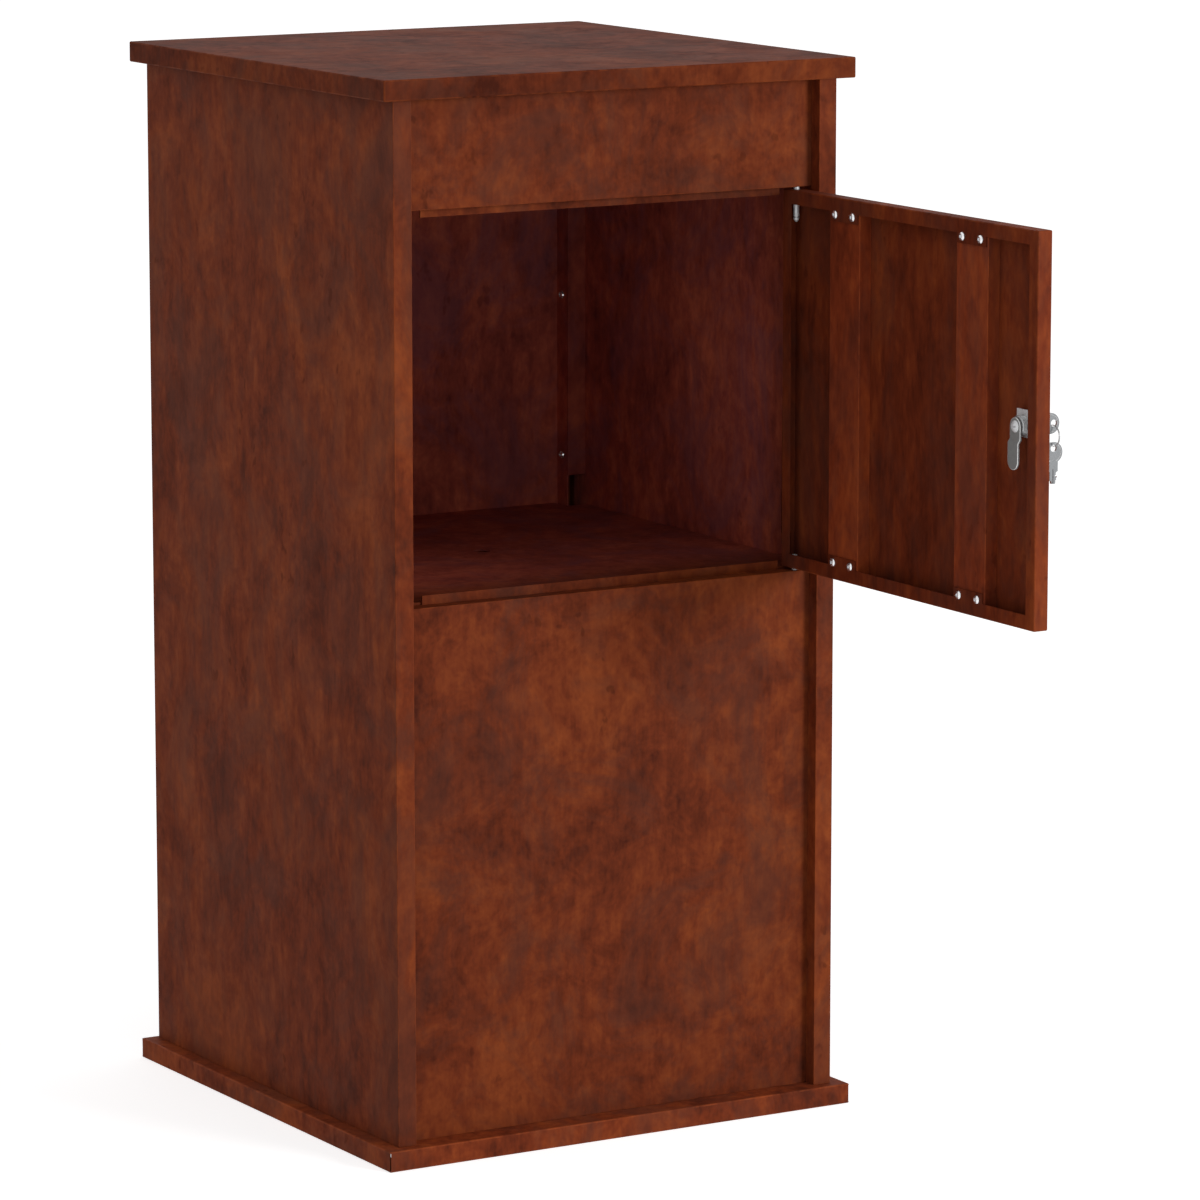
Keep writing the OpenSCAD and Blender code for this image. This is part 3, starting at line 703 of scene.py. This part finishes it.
def dust_and_sheen_group():
    """Pale dust and painted sheen on faces that look up, thicker in patches."""
    name = "Settled dust"
    if name in bpy.data.node_groups:
        return bpy.data.node_groups[name]
    tree, into, out = new_group(name, {"Vector": VECTOR, "Normal": VECTOR, "Amount": VALUE}, {"Mask": VALUE})
    up = put(tree, "ShaderNodeSeparateXYZ", {0: into["Normal"]}).outputs["Z"]
    up = spread(tree, up, 0.6, 0.95, smooth_ends=True)
    patch = noise(tree, into["Vector"], 24.0, detail=4.0, roughness=0.6, distortion=0.4)
    patch = spread(tree, patch, 0.25, 0.75)
    mask = times(tree, times(tree, up, patch), into["Amount"], clamp=True)
    tree.links.new(mask, out.inputs["Mask"])
    return tree


def use(tree, group, sockets):
    """Place a shader group, set or link its inputs, and give its outputs."""
    return put(tree, "ShaderNodeGroup", sockets, node_tree=group).outputs


def rgba(colour, share=1.0):
    """A share of a colour, with its alpha."""
    return (colour[0] * share, colour[1] * share, colour[2] * share, 1.0)


def new_material(name):
    """A material with one Principled shader, and its tree, shader and coordinates."""
    material = bpy.data.materials.new(name)
    material.use_nodes = True
    tree = material.node_tree
    tree.nodes.clear()
    surface = put(tree, "ShaderNodeBsdfPrincipled")
    end = put(tree, "ShaderNodeOutputMaterial")
    tree.links.new(surface.outputs[0], end.inputs["Surface"])
    where = put(tree, "ShaderNodeTexCoord").outputs
    return material, tree, surface, where


def rust(name, share, upright=0.45, contrast=1.0, dust_and_sheen=0.0, shift=(0, 0, 0), red=0.0, shine=0.055):
    """Rust patina for one group of sheet pieces: share makes it lighter, painted light that sets each group
    brighter or darker for how the light falls on it, and red takes green and blue away.
    """
    if name in bpy.data.materials:
        return bpy.data.materials[name]
    look = colours()
    material, tree, surface, where = new_material(name)
    place = stretched(tree, where["Object"], (1, 1, 1), shift)

    def tint(colour):
        return (colour[0] * share, colour[1] * share * (1 - red), colour[2] * share * (1 - 0.6 * red), 1.0)

    mottle = use(
        tree,
        patina_group(),
        {
            "Vector": place,
            "Light": tint(look.rust_light),
            "Middle": tint(look.rust_mid),
            "Dark": tint(look.rust_dark),
            "Grey": tint(look.rust_grey),
            "Upright": upright,
            "Streaks": look.streaks,
            "Spots": look.spots,
            "Contrast": contrast,
        },
    )
    # Painted highlight: the rounded folds are laid over with a lighter rust, broken up by noise, and made a
    # little smoother
    fold = put(tree, "ShaderNodeAttribute", attribute_name="fold").outputs["Fac"]
    fold_highlight = use(tree, fold_highlight_group(), {"Fold": fold, "Vector": place, "Amount": 0.45})["Mask"]
    colour = blend_colour(tree, fold_highlight, mottle["Color"], rgba(look.rust_light, 1.15 * share))
    # Painted light: inside the cabinet the patina is made lighter and bluer, coming in with depth behind the
    # front
    inside = use(tree, inside_group(), {"Point": where["Object"]})["Mask"]
    painted_light_colour = blend_colour(tree, 1.0, colour, INSIDE_PAINTED_LIGHT, "MULTIPLY")
    colour = blend_colour(tree, inside, colour, painted_light_colour)
    # Dust and painted sheen: faces that look up are made paler and greyer
    if dust_and_sheen:
        lie = {"Vector": place, "Normal": where["Normal"], "Amount": dust_and_sheen}
        dust_and_sheen_mask = use(tree, dust_and_sheen_group(), lie)["Mask"]
        colour = blend_colour(tree, dust_and_sheen_mask, colour, rgba(look.dust_and_sheen))
    tree.links.new(colour, surface.inputs["Base Color"])
    rough = minus(tree, mottle["Roughness"], times(tree, fold_highlight, 0.25))
    tree.links.new(rough, surface.inputs["Roughness"])
    surface.inputs["Specular IOR Level"].default_value = shine
    bump = put(tree, "ShaderNodeBump", {"Height": mottle["Height"], "Strength": 0.12, "Distance": 0.1 * MM})
    tree.links.new(bump.outputs[0], surface.inputs["Normal"])
    return material


def steel(name, colour, roughness, tarnish, rim=0.0, brushed=(1, 1, 1), metal=1.0):
    """Plated or bare steel with fine scratches, dull patches and a painted highlight on the eased edges."""
    if name in bpy.data.materials:
        return bpy.data.materials[name]
    material, tree, surface, where = new_material(name)
    place = where["Object"]
    cloud = noise(tree, place, 260.0, detail=4.0, roughness=0.6, distortion=0.4)
    cloud = spread(tree, cloud, 0.35, 0.7)
    scratch = noise(tree, stretched(tree, place, brushed), 2600.0, roughness=0.6)
    scratch = spread(tree, scratch, 0.35, 0.65)
    shade = blend_colour(tree, times(tree, cloud, tarnish), rgba(colour), rgba(colour, 0.55))
    # Painted highlight: the eased edges are laid over with the pale edge highlight colour
    if rim:
        fold = put(tree, "ShaderNodeAttribute", attribute_name="fold").outputs["Fac"]
        fold_highlight = use(tree, fold_highlight_group(), {"Fold": fold, "Vector": place, "Amount": 1.0})["Mask"]
        edge = times(tree, math_node(tree, "MAXIMUM", fold_highlight, times(tree, fold, 0.7)), rim)
        shade = blend_colour(tree, edge, shade, rgba(colours().painted_edge_highlight))
    tree.links.new(shade, surface.inputs["Base Color"])
    rough = plus(tree, times(tree, cloud, 0.14), roughness - 0.05)
    rough = plus(tree, rough, times(tree, scratch, 0.08))
    tree.links.new(rough, surface.inputs["Roughness"])
    surface.inputs["Metallic"].default_value = metal
    bump = put(tree, "ShaderNodeBump", {"Height": scratch, "Strength": 0.15, "Distance": 0.02 * MM})
    tree.links.new(bump.outputs[0], surface.inputs["Normal"])
    return material


# Painted light: each group of pieces gets its own share, set brighter or darker to match how lit that group
# looks
def body_rust():
    return rust("Rust patina on the body", share=1.19, upright=0.7, contrast=0.95)


def front_rust():
    return rust("Rust patina on the front", share=1.07, upright=0.85, shift=(0.31, 0.0, 0.17))


def roof_rust():
    return rust("Rust patina on the roof", upright=0.85, share=0.91, dust_and_sheen=0.03, shine=0.042)


def base_rust():
    return rust("Rust patina on the base", upright=0.8, share=1.46, shift=(0.2, 0.6, 0.4))


def door_rust():
    return rust("Rust patina on the door", share=1.12, shift=(0.5, 0.2, 0.9), red=0.08)


def stiffener_rust():
    return rust("Rust patina on the stiffeners", share=1.70, shift=(0.9, 0.4, 0.3), red=0.08)


def inner_rust():
    return rust("Rust patina inside", share=0.93, upright=0.7, contrast=0.8, dust_and_sheen=0.05, red=0.05)


def ring_steel():
    return steel("Key ring wire", colours().ring_steel, roughness=0.25, tarnish=0.4)


def plated():
    return steel("Bright plating", colours().bright_steel, roughness=0.32, tarnish=0.25, metal=0.2)


def rivet_steel():
    return steel("Rivet plating", colours().bright_steel, roughness=0.16, tarnish=0.1, metal=0.85)


def dull():
    return steel("Dull plating", colours().dull_steel, roughness=0.42, tarnish=0.6, metal=0.8)


def cam_steel():
    return steel("Dark cam steel", colours().dark_steel, roughness=0.42, tarnish=0.35, rim=1.0, metal=0.6)


def key_steel():
    nickel = colours().key_steel
    return steel("Nickel keys", nickel, roughness=0.3, tarnish=0.45, rim=0.9, brushed=(0.1, 1, 1))


# -------- pieces


class MAILBOX_OT_cabinet(bpy.types.Operator):
    """Fold the roof, base, sides and back"""

    bl_idname = "mailbox.cabinet"
    bl_label = "Cabinet shell"

    def execute(self, context):
        fold_sheet("roof_cap", roof_rust())
        # The base's short edges at its mitred corners stay sharp
        fold_sheet("base_pan", base_rust(), least=20 * MM)
        for node in ("left_side_panel", "right_side_panel", "back_panel"):
            fold_sheet(node, body_rust())
        return {"FINISHED"}


class MAILBOX_OT_front(bpy.types.Operator):
    """Fold the header, the lower front and the angle that the cam closes behind"""

    bl_idname = "mailbox.front"
    bl_label = "Front panels"

    def execute(self, context):
        for node in ("header_panel", "lower_front_panel"):
            fold_sheet(node, front_rust())
        fold_sheet("latch_jamb", inner_rust())
        return {"FINISHED"}


class MAILBOX_OT_parcel_floor(bpy.types.Operator):
    """Fold the loose tray and the rails and corner brackets inside"""

    bl_idname = "mailbox.parcel_floor"
    bl_label = "Parcel floor and brackets"

    def execute(self, context):
        pairs = [f"{name}_{side}" for name in ("floor_rail", "rear_bracket") for side in ("left", "right")]
        for node in ("floor_pan", *pairs):
            fold_sheet(node, inner_rust())
        return {"FINISHED"}


class MAILBOX_OT_letter_slot(bpy.types.Operator):
    """Fold the guard and the flap, and finish the rod and its lugs"""

    bl_idname = "mailbox.letter_slot"
    bl_label = "Letter slot"

    def execute(self, context):
        fold_sheet("slot_hood", inner_rust())
        fold_sheet("slot_flap", body_rust())
        eased("flap_lugs", body_rust(), 0.3 * MM)
        eased("flap_rod", dull(), 0.25 * MM)
        return {"FINISHED"}


class MAILBOX_OT_door(bpy.types.Operator):
    """Fold the door and its two stiffeners"""

    bl_idname = "mailbox.door"
    bl_label = "Door"

    def execute(self, context):
        fold_sheet("door_panel", door_rust())
        for node in ("stiffener_hinge_side", "stiffener_lock_side"):
            fold_sheet(node, stiffener_rust())
        return {"FINISHED"}


def rivet_outline(radius, length):
    """Half section of a blind rivet: a plain shank and a low domed head with its mandrel sunk in it."""
    rise = 0.27 * length
    shank = 0.55 * radius
    ease = 0.2 * MM
    head = [
        (1, -1), (1, -0.80), (0.95, -0.55), (0.80, -0.25), (0.62, -0.06), (0.46, 0),
        (0.38, -0.05), (0.34, -0.6), (0.20, -0.62), (0.17, -0.45), (0, -0.42),
    ]
    outline = [(0, 0), (shank - ease, 0), (shank, ease), (shank, length - rise)]
    return outline + [(across * radius, length + up * rise) for across, up in head]


class MAILBOX_OT_rivets(bpy.types.Operator):
    """Turn one blind rivet with its hollow head and copy it to every place"""

    bl_idname = "mailbox.rivets"
    bl_label = "Door rivets"

    def execute(self, context):
        places = solids("door_rivets")
        low, high = places[0]
        foot = high.x
        outline = rivet_outline((high.z - low.z) / 2, high.x - low.x)
        master = turned("rivet", outline, (foot, 0, 0), (-1, 0, 0), sides=32)
        copies = []
        for n, (low, high) in enumerate(places):
            middle = (low + high) / 2
            shift = Matrix.Translation((high.x - foot, middle.y, middle.z))
            copies.append(own_copy(master, f"rivet_{n}", shift))
        bpy.data.objects.remove(master)
        rivets = joined(copies, "door_rivets_finished")
        smooth(rivets, 40)
        finished(rivets, rivet_steel(), "door_rivets")
        return {"FINISHED"}


def cross_head_screw(name, radius, rise, length, shank):
    """A pan head screw standing on its shank along +Z, with a cross recess in its head."""
    ease = 0.3 * MM
    head = [(1, -1), (1, -0.75), (0.93, -0.45), (0.74, -0.14), (0.45, 0), (0, 0)]
    outline = [(0, 0), (shank - ease, 0), (shank, ease), (shank, length - rise)]
    outline += [(across * radius, length + up * rise) for across, up in head]
    screw = turned(name, outline, (0, 0, 0), (0, 0, 1), sides=40)
    arm, thin, deep = 0.52 * radius, 0.13 * radius, 0.62 * rise
    for x, y in ((arm, thin), (thin, arm)):
        cutter = block("recess", (-x, -y, length - deep), (x, y, length + MM))
        open_piece(cutter)
        pick_faces(cutter, lambda middle, normal: normal.z < -0.9)
        bpy.ops.transform.resize(value=(0.62, 0.62, 1))
        close_piece()
        carve(screw, cutter)
    return screw


class MAILBOX_OT_corner_screws(bpy.types.Operator):
    """Turn the cross-head screws and chamfer the nuts of the rear corners"""

    bl_idname = "mailbox.corner_screws"
    bl_label = "Corner screws and nuts"

    def execute(self, context):
        places = solids("rear_screws")
        low, high = places[0]
        radius, length = (high.z - low.z) / 2, high.x - low.x
        master = cross_head_screw("corner_screw", radius, 0.35 * length, length, 0.5 * radius)
        copies = []
        for n, (low, high) in enumerate(places):
            middle = (low + high) / 2
            side = 1 if middle.x > 0 else -1
            foot = Vector((high.x if side > 0 else low.x, middle.y, middle.z))
            turn = Vector((-side, 0, 0)).to_track_quat("Z", "Y").to_matrix().to_4x4()
            copies.append(own_copy(master, f"corner_screw_{n}", Matrix.Translation(foot) @ turn))
        bpy.data.objects.remove(master)
        screws = joined(copies, "rear_screws_finished")
        smooth(screws, 35)
        finished(screws, rivet_steel(), "rear_screws")
        eased("rear_nuts", dull(), 0.25 * MM)
        return {"FINISHED"}


class MAILBOX_OT_base_screws(bpy.types.Operator):
    """Ease the screws and nuts that hold the body on its base"""

    bl_idname = "mailbox.base_screws"
    bl_label = "Base screws and nuts"

    def execute(self, context):
        eased("base_screws", dull(), 0.3 * MM)
        eased("base_nuts", dull(), 0.35 * MM)
        return {"FINISHED"}


class MAILBOX_OT_hinge(bpy.types.Operator):
    """Finish the pins and their bushes"""

    bl_idname = "mailbox.hinge"
    bl_label = "Hinge pins and bushes"

    def execute(self, context):
        for node in ("hinge_pin_top", "hinge_pin_bottom"):
            eased(node, plated(), 0.15 * MM, angle=50)
        eased("hinge_bushes", dull(), 0.2 * MM)
        return {"FINISHED"}


def housing_outline(bore, barrel, face, skin, length):
    """Half section of the lock housing: a threaded barrel up to the door's skin, and a domed face over it."""
    lead = 0.35 * MM  # plain start of the barrel
    plain = 1.6 * MM  # of the barrel, left without a thread
    groove = 0.42 * MM  # depth of the thread
    relief = barrel - 0.1 * MM
    pitch = sizes().thread_pitch
    outline = [(bore, 0), (barrel - 0.9 * MM, 0), (barrel - 0.45 * MM, lead)]
    for n in range(int((skin - plain) / pitch)):
        start = lead + n * pitch
        outline += [
            (barrel, start + 0.35 * pitch),
            (barrel, start + 0.5 * pitch),
            (barrel - groove, start + 0.92 * pitch),
        ]
    outline += [
        (relief, skin - 0.9 * MM), (relief, skin), (face - 0.2 * MM, skin), (face, skin + 0.2 * MM),
        (face, length - 1.1 * MM), (face - 0.35 * MM, length - 0.45 * MM), (face - 1.1 * MM, length),
        (barrel + 0.5 * MM, length), (barrel + 0.25 * MM, length - 0.25 * MM),
        (barrel - 0.35 * MM, length - 0.3 * MM), (bore + 0.3 * MM, length - 0.1 * MM),
        (bore, length - 0.4 * MM), (bore, 0),
    ]
    return outline


class MAILBOX_OT_lock(bpy.types.Operator):
    """Turn the threaded lock housing and ease the clip and the plug"""

    bl_idname = "mailbox.lock"
    bl_label = "Lock"

    def execute(self, context):
        low, high = HOUSING_LOW, HOUSING_HIGH
        face = (high.z - low.z) / 2
        barrel = 0.69 * face
        bore = (PLUG_HIGH.z - PLUG_LOW.z) / 2 + RUNNING_GAP
        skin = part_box("door_panel")[1].x - low.x
        outline = housing_outline(bore, barrel, face, skin, high.x - low.x)
        middle = (low + high) / 2
        foot = (low.x, middle.y, middle.z)
        housing = turned("lock_housing_finished", outline, foot, (1, 0, 0), sides=56)
        smooth(housing, 28)
        finished(housing, dull(), "lock_housing")
        eased("lock_clip", plated(), 0.2 * MM)
        eased("lock_plug", dull(), 0.18 * MM)
        return {"FINISHED"}


class MAILBOX_OT_cam(bpy.types.Operator):
    """Ease the cranked cam and its slotted screw"""

    bl_idname = "mailbox.cam"
    bl_label = "Cam"

    def execute(self, context):
        eased("lock_cam", cam_steel(), 0.45 * MM, steps=3, clamp=False)
        eased("cam_screw", plated(), 0.15 * MM, angle=45)
        return {"FINISHED"}


def cut_key():
    """One key around its bow's middle: blade down -Z, flat across Y, bitting on the +X side."""
    half = KEY_THICK / 2
    reach = (KEY_HIGH.x - KEY_LOW.x) - BOW_RADIUS
    shoulder = reach - (PLUG_HIGH.x - KEY_LOW.x)
    neck_half, blade_half = 3.3 * MM, 3.0 * MM
    blade_top = -shoulder + 0.5 * MM  # inside the neck
    tip = 2.0 * MM  # length of the narrowed end
    bow = rod("key", BOW_RADIUS, (0, -half, 0), (0, half, 0), 56)
    open_piece(bow)
    pick_faces(bow, lambda middle, normal: abs(normal.y) > 0.9)
    bpy.ops.mesh.inset(thickness=1.0 * MM, depth=0)
    bpy.ops.mesh.inset(thickness=0.25 * MM, depth=-0.22 * MM)
    close_piece()
    neck = block("neck", (-neck_half, -half, -shoulder), (neck_half, half, -0.8 * BOW_RADIUS))
    carve(bow, neck, "UNION")
    pointed = block("pointed", (-blade_half, -half, -reach), (blade_half, half, blade_top))
    open_piece(pointed)
    pick_faces(pointed, lambda middle, normal: normal.z < -0.9)
    bpy.ops.transform.resize(value=(0.45, 1, 1))
    close_piece()
    straight = block("straight", (-blade_half, -half, -reach + tip), (blade_half, half, blade_top))
    carve(pointed, straight, "UNION")
    carve(bow, pointed, "UNION")

    first_cut, cut_pitch, notch_radius = 1.1 * MM, 1.65 * MM, 1.25 * MM
    for n, depth in enumerate((0.9, 1.5, 0.6, 1.2)):
        x = blade_half + (0.75 - depth) * MM
        z = -shoulder - first_cut - n * cut_pitch
        carve(bow, rod("notch", notch_radius, (x, -MM, z), (x, MM, z), 4))
    width, depth, run_out = 1.0 * MM, 0.45 * MM, 1.5 * MM
    for face, left in ((-half, -1.1 * MM), (half, 0.2 * MM)):
        low = (left, face - depth, -reach - MM)
        high = (left + width, face + depth, -shoulder + run_out)
        carve(bow, block("groove", low, high))
    hole_radius = 2.3 * MM
    z = BOW_RADIUS - 4.1 * MM
    carve(bow, rod("hole", hole_radius, (0, -2 * MM, z), (0, 2 * MM, z), 40))
    return bow


def wind_ring(name):
    """The split ring: a round wire wound on itself about the frame ring's axis."""
    wire = (RING_HIGH.x - RING_LOW.x) / 4  # radius of the wire, which lies twice across the ring
    centre = (RING_LOW + RING_HIGH) / 2
    bend = (RING_HIGH.z - RING_LOW.z) / 2 - wire
    thin = 0.98 * wire  # so that the turns keep apart
    turns = sizes().ring_turns
    steps = int(56 * turns)
    deselect()
    bpy.ops.mesh.primitive_circle_add(vertices=10, radius=thin, fill_type="NOTHING", location=(0, 0, 0))
    ring = bpy.context.object
    ring.name = name
    ring.rotation_euler = (math.radians(90), 0, 0)
    apply_place(ring)
    ring.data.transform(Matrix.Translation((bend, 0, 0)))
    apply_modifier(
        ring,
        "SCREW",
        axis="Z",
        angle=turns * 2 * math.pi,
        screw_offset=2 * wire * turns,
        iterations=1,
        steps=steps,
        render_steps=steps,
        use_merge_vertices=False,
    )
    open_piece(ring, "EDGE")
    bpy.ops.mesh.select_all(action="SELECT")
    bpy.ops.mesh.remove_doubles(threshold=0.001 * MM)
    bpy.ops.mesh.select_all(action="DESELECT")
    bpy.ops.mesh.select_non_manifold()
    bpy.ops.mesh.edge_face_add()
    bpy.ops.mesh.select_all(action="SELECT")
    bpy.ops.mesh.normals_make_consistent(inside=False)
    close_piece()
    ring.data.transform(Matrix.Translation((0, 0, -wire * turns)))
    ring.data.transform(Matrix.Translation(centre) @ Matrix.Rotation(math.radians(90), 4, "Y"))
    return ring


class MAILBOX_OT_keys(bpy.types.Operator):
    """Cut the two keys and wind the split ring"""

    bl_idname = "mailbox.keys"
    bl_label = "Keys and ring"

    def execute(self, context):
        master = cut_key()
        middle = (KEY_LOW + KEY_HIGH) / 2
        bow_middle = (KEY_HIGH.x - BOW_RADIUS, middle.y, middle.z)
        in_lock = Matrix.Translation(bow_middle) @ Matrix.Rotation(math.radians(90), 4, "Y")
        key = own_copy(master, "key_finished", in_lock)
        low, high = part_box("spare_key")
        hanging = Matrix.Translation(((low.x + high.x) / 2, middle.y, high.z - BOW_RADIUS))
        spare = own_copy(master, "spare_key_finished", hanging)
        bpy.data.objects.remove(master)
        ease = {"width": 0.09 * MM, "segments": 1, "limit_method": "ANGLE", "angle_limit": math.radians(50)}
        for piece, node in ((key, "key"), (spare, "spare_key")):
            apply_modifier(piece, "BEVEL", **ease)
            # The keys' eased side faces carry the painted edge highlight
            open_piece(piece)
            pick_faces(piece, lambda middle, normal: abs(normal.y) < 0.9)
            close_piece()
            mark_folds(piece)
            smooth(piece, 30)
            finished(piece, key_steel(), node)
        ring = wind_ring("key_ring_finished")
        smooth(ring, 50)
        finished(ring, ring_steel(), "key_ring")
        return {"FINISHED"}


# -------- stage


def looked_at(tree):
    """1 where the camera, a reflection or a refraction meets the surface, 0 for the light that it gives."""
    path = put(tree, "ShaderNodeLightPath").outputs
    seen = math_node(tree, "MAXIMUM", path["Is Camera Ray"], path["Is Glossy Ray"])
    return math_node(tree, "MAXIMUM", seen, path["Is Transmission Ray"])


def lay_floor():
    """A wide pale floor just under the base, which shows white and keeps the shadow."""
    span, gap = 60.0, 0.05 * MM
    deselect()
    bpy.ops.mesh.primitive_plane_add(size=span, location=(0, 0, 0))
    floor = bpy.context.object
    floor.name = "studio_floor"
    apply_place(floor)
    floor.data.transform(Matrix.Translation((0, 0, CAD_BOX[0].z - gap)))
    material, tree, surface, where = new_material("Studio floor")
    grain = noise(tree, where["Object"], 3.0, detail=2.0)
    shade = blend_colour(tree, grain, (0.90, 0.90, 0.90, 1), (0.93, 0.93, 0.93, 1))
    tree.links.new(shade, surface.inputs["Base Color"])
    surface.inputs["Roughness"].default_value = 0.9
    surface.inputs["Specular IOR Level"].default_value = 0.0
    surface.inputs["Emission Color"].default_value = (1, 1, 1, 1)
    tree.links.new(times(tree, looked_at(tree), 0.64), surface.inputs["Emission Strength"])
    floor.data.materials.append(material)


def white_surround(fill):
    """A world that shows plain white and lights evenly with the strength of fill."""
    world = bpy.data.worlds.new("White surround")
    bpy.context.scene.world = world
    world.use_nodes = True
    tree = world.node_tree
    tree.nodes.clear()
    strength = plus(tree, times(tree, looked_at(tree), 1.0 - fill), fill)
    light = put(tree, "ShaderNodeBackground", {"Color": (1, 1, 1, 1), "Strength": strength})
    end = put(tree, "ShaderNodeOutputWorld")
    tree.links.new(light.outputs[0], end.inputs["Surface"])


class MAILBOX_OT_stage(bpy.types.Operator):
    """Lay the floor and set the soft light, the white surround and the camera"""

    bl_idname = "mailbox.stage"
    bl_label = "Stage"

    def execute(self, context):
        stage = context.scene.mailbox_stage
        lay_floor()
        white_surround(stage.fill)

        deselect()
        place, span = (1.4, -3.1, 1.05), 0.9
        bpy.ops.object.light_add(type="AREA", location=place)
        softbox = bpy.context.object
        softbox.name = "front_softbox"
        softbox.data.shape = "RECTANGLE"
        softbox.data.size = span
        softbox.data.size_y = span
        softbox.data.energy = stage.key_power
        body_middle = Vector((0, 0, CAD_BOX[1].z / 2))
        softbox.rotation_euler = (body_middle - softbox.location).to_track_quat("-Z", "Y").to_euler()

        deselect()
        bpy.ops.object.camera_add(location=stage.camera_place, rotation=stage.camera_turn)
        camera = bpy.context.object
        camera.data.lens = stage.lens
        camera.data.sensor_width = 36
        camera.data.clip_end = 50
        context.scene.camera = camera
        context.scene.view_settings.view_transform = "Standard"
        return {"FINISHED"}


ORDER = (
    MAILBOX_OT_cabinet,
    MAILBOX_OT_front,
    MAILBOX_OT_parcel_floor,
    MAILBOX_OT_letter_slot,
    MAILBOX_OT_door,
    MAILBOX_OT_rivets,
    MAILBOX_OT_corner_screws,
    MAILBOX_OT_base_screws,
    MAILBOX_OT_hinge,
    MAILBOX_OT_lock,
    MAILBOX_OT_cam,
    MAILBOX_OT_keys,
    MAILBOX_OT_stage,
)


class MAILBOX_PT_panel(bpy.types.Panel):
    """Sizes, finish, stage and the steps that build the mailbox"""

    bl_idname = "MAILBOX_PT_panel"
    bl_label = "Parcel mailbox"
    bl_space_type = "VIEW_3D"
    bl_region_type = "UI"
    bl_category = "Mailbox"

    def draw(self, context):
        scene = context.scene
        for settings in (scene.mailbox_sizes, scene.mailbox_finish, scene.mailbox_stage):
            box = self.layout.box()
            for name in settings.__annotations__:
                box.prop(settings, name)
        for step in ORDER:
            self.layout.operator(step.bl_idname)


CLASSES = (MailboxSizes, MailboxFinish, MailboxStage, *ORDER, MAILBOX_PT_panel)


def register():
    for cls in CLASSES:
        bpy.utils.register_class(cls)
    bpy.types.Scene.mailbox_sizes = PointerProperty(type=MailboxSizes)
    bpy.types.Scene.mailbox_finish = PointerProperty(type=MailboxFinish)
    bpy.types.Scene.mailbox_stage = PointerProperty(type=MailboxStage)


def unregister():
    del bpy.types.Scene.mailbox_stage
    del bpy.types.Scene.mailbox_finish
    del bpy.types.Scene.mailbox_sizes
    for cls in reversed(CLASSES):
        bpy.utils.unregister_class(cls)


def main():
    register()
    for step in ORDER:
        family, name = step.bl_idname.split(".")
        if getattr(getattr(bpy.ops, family), name)() != {"FINISHED"}:
            raise RuntimeError(f"{step.bl_idname} did not finish")
    deselect()


if __name__ == "__main__":
    main()
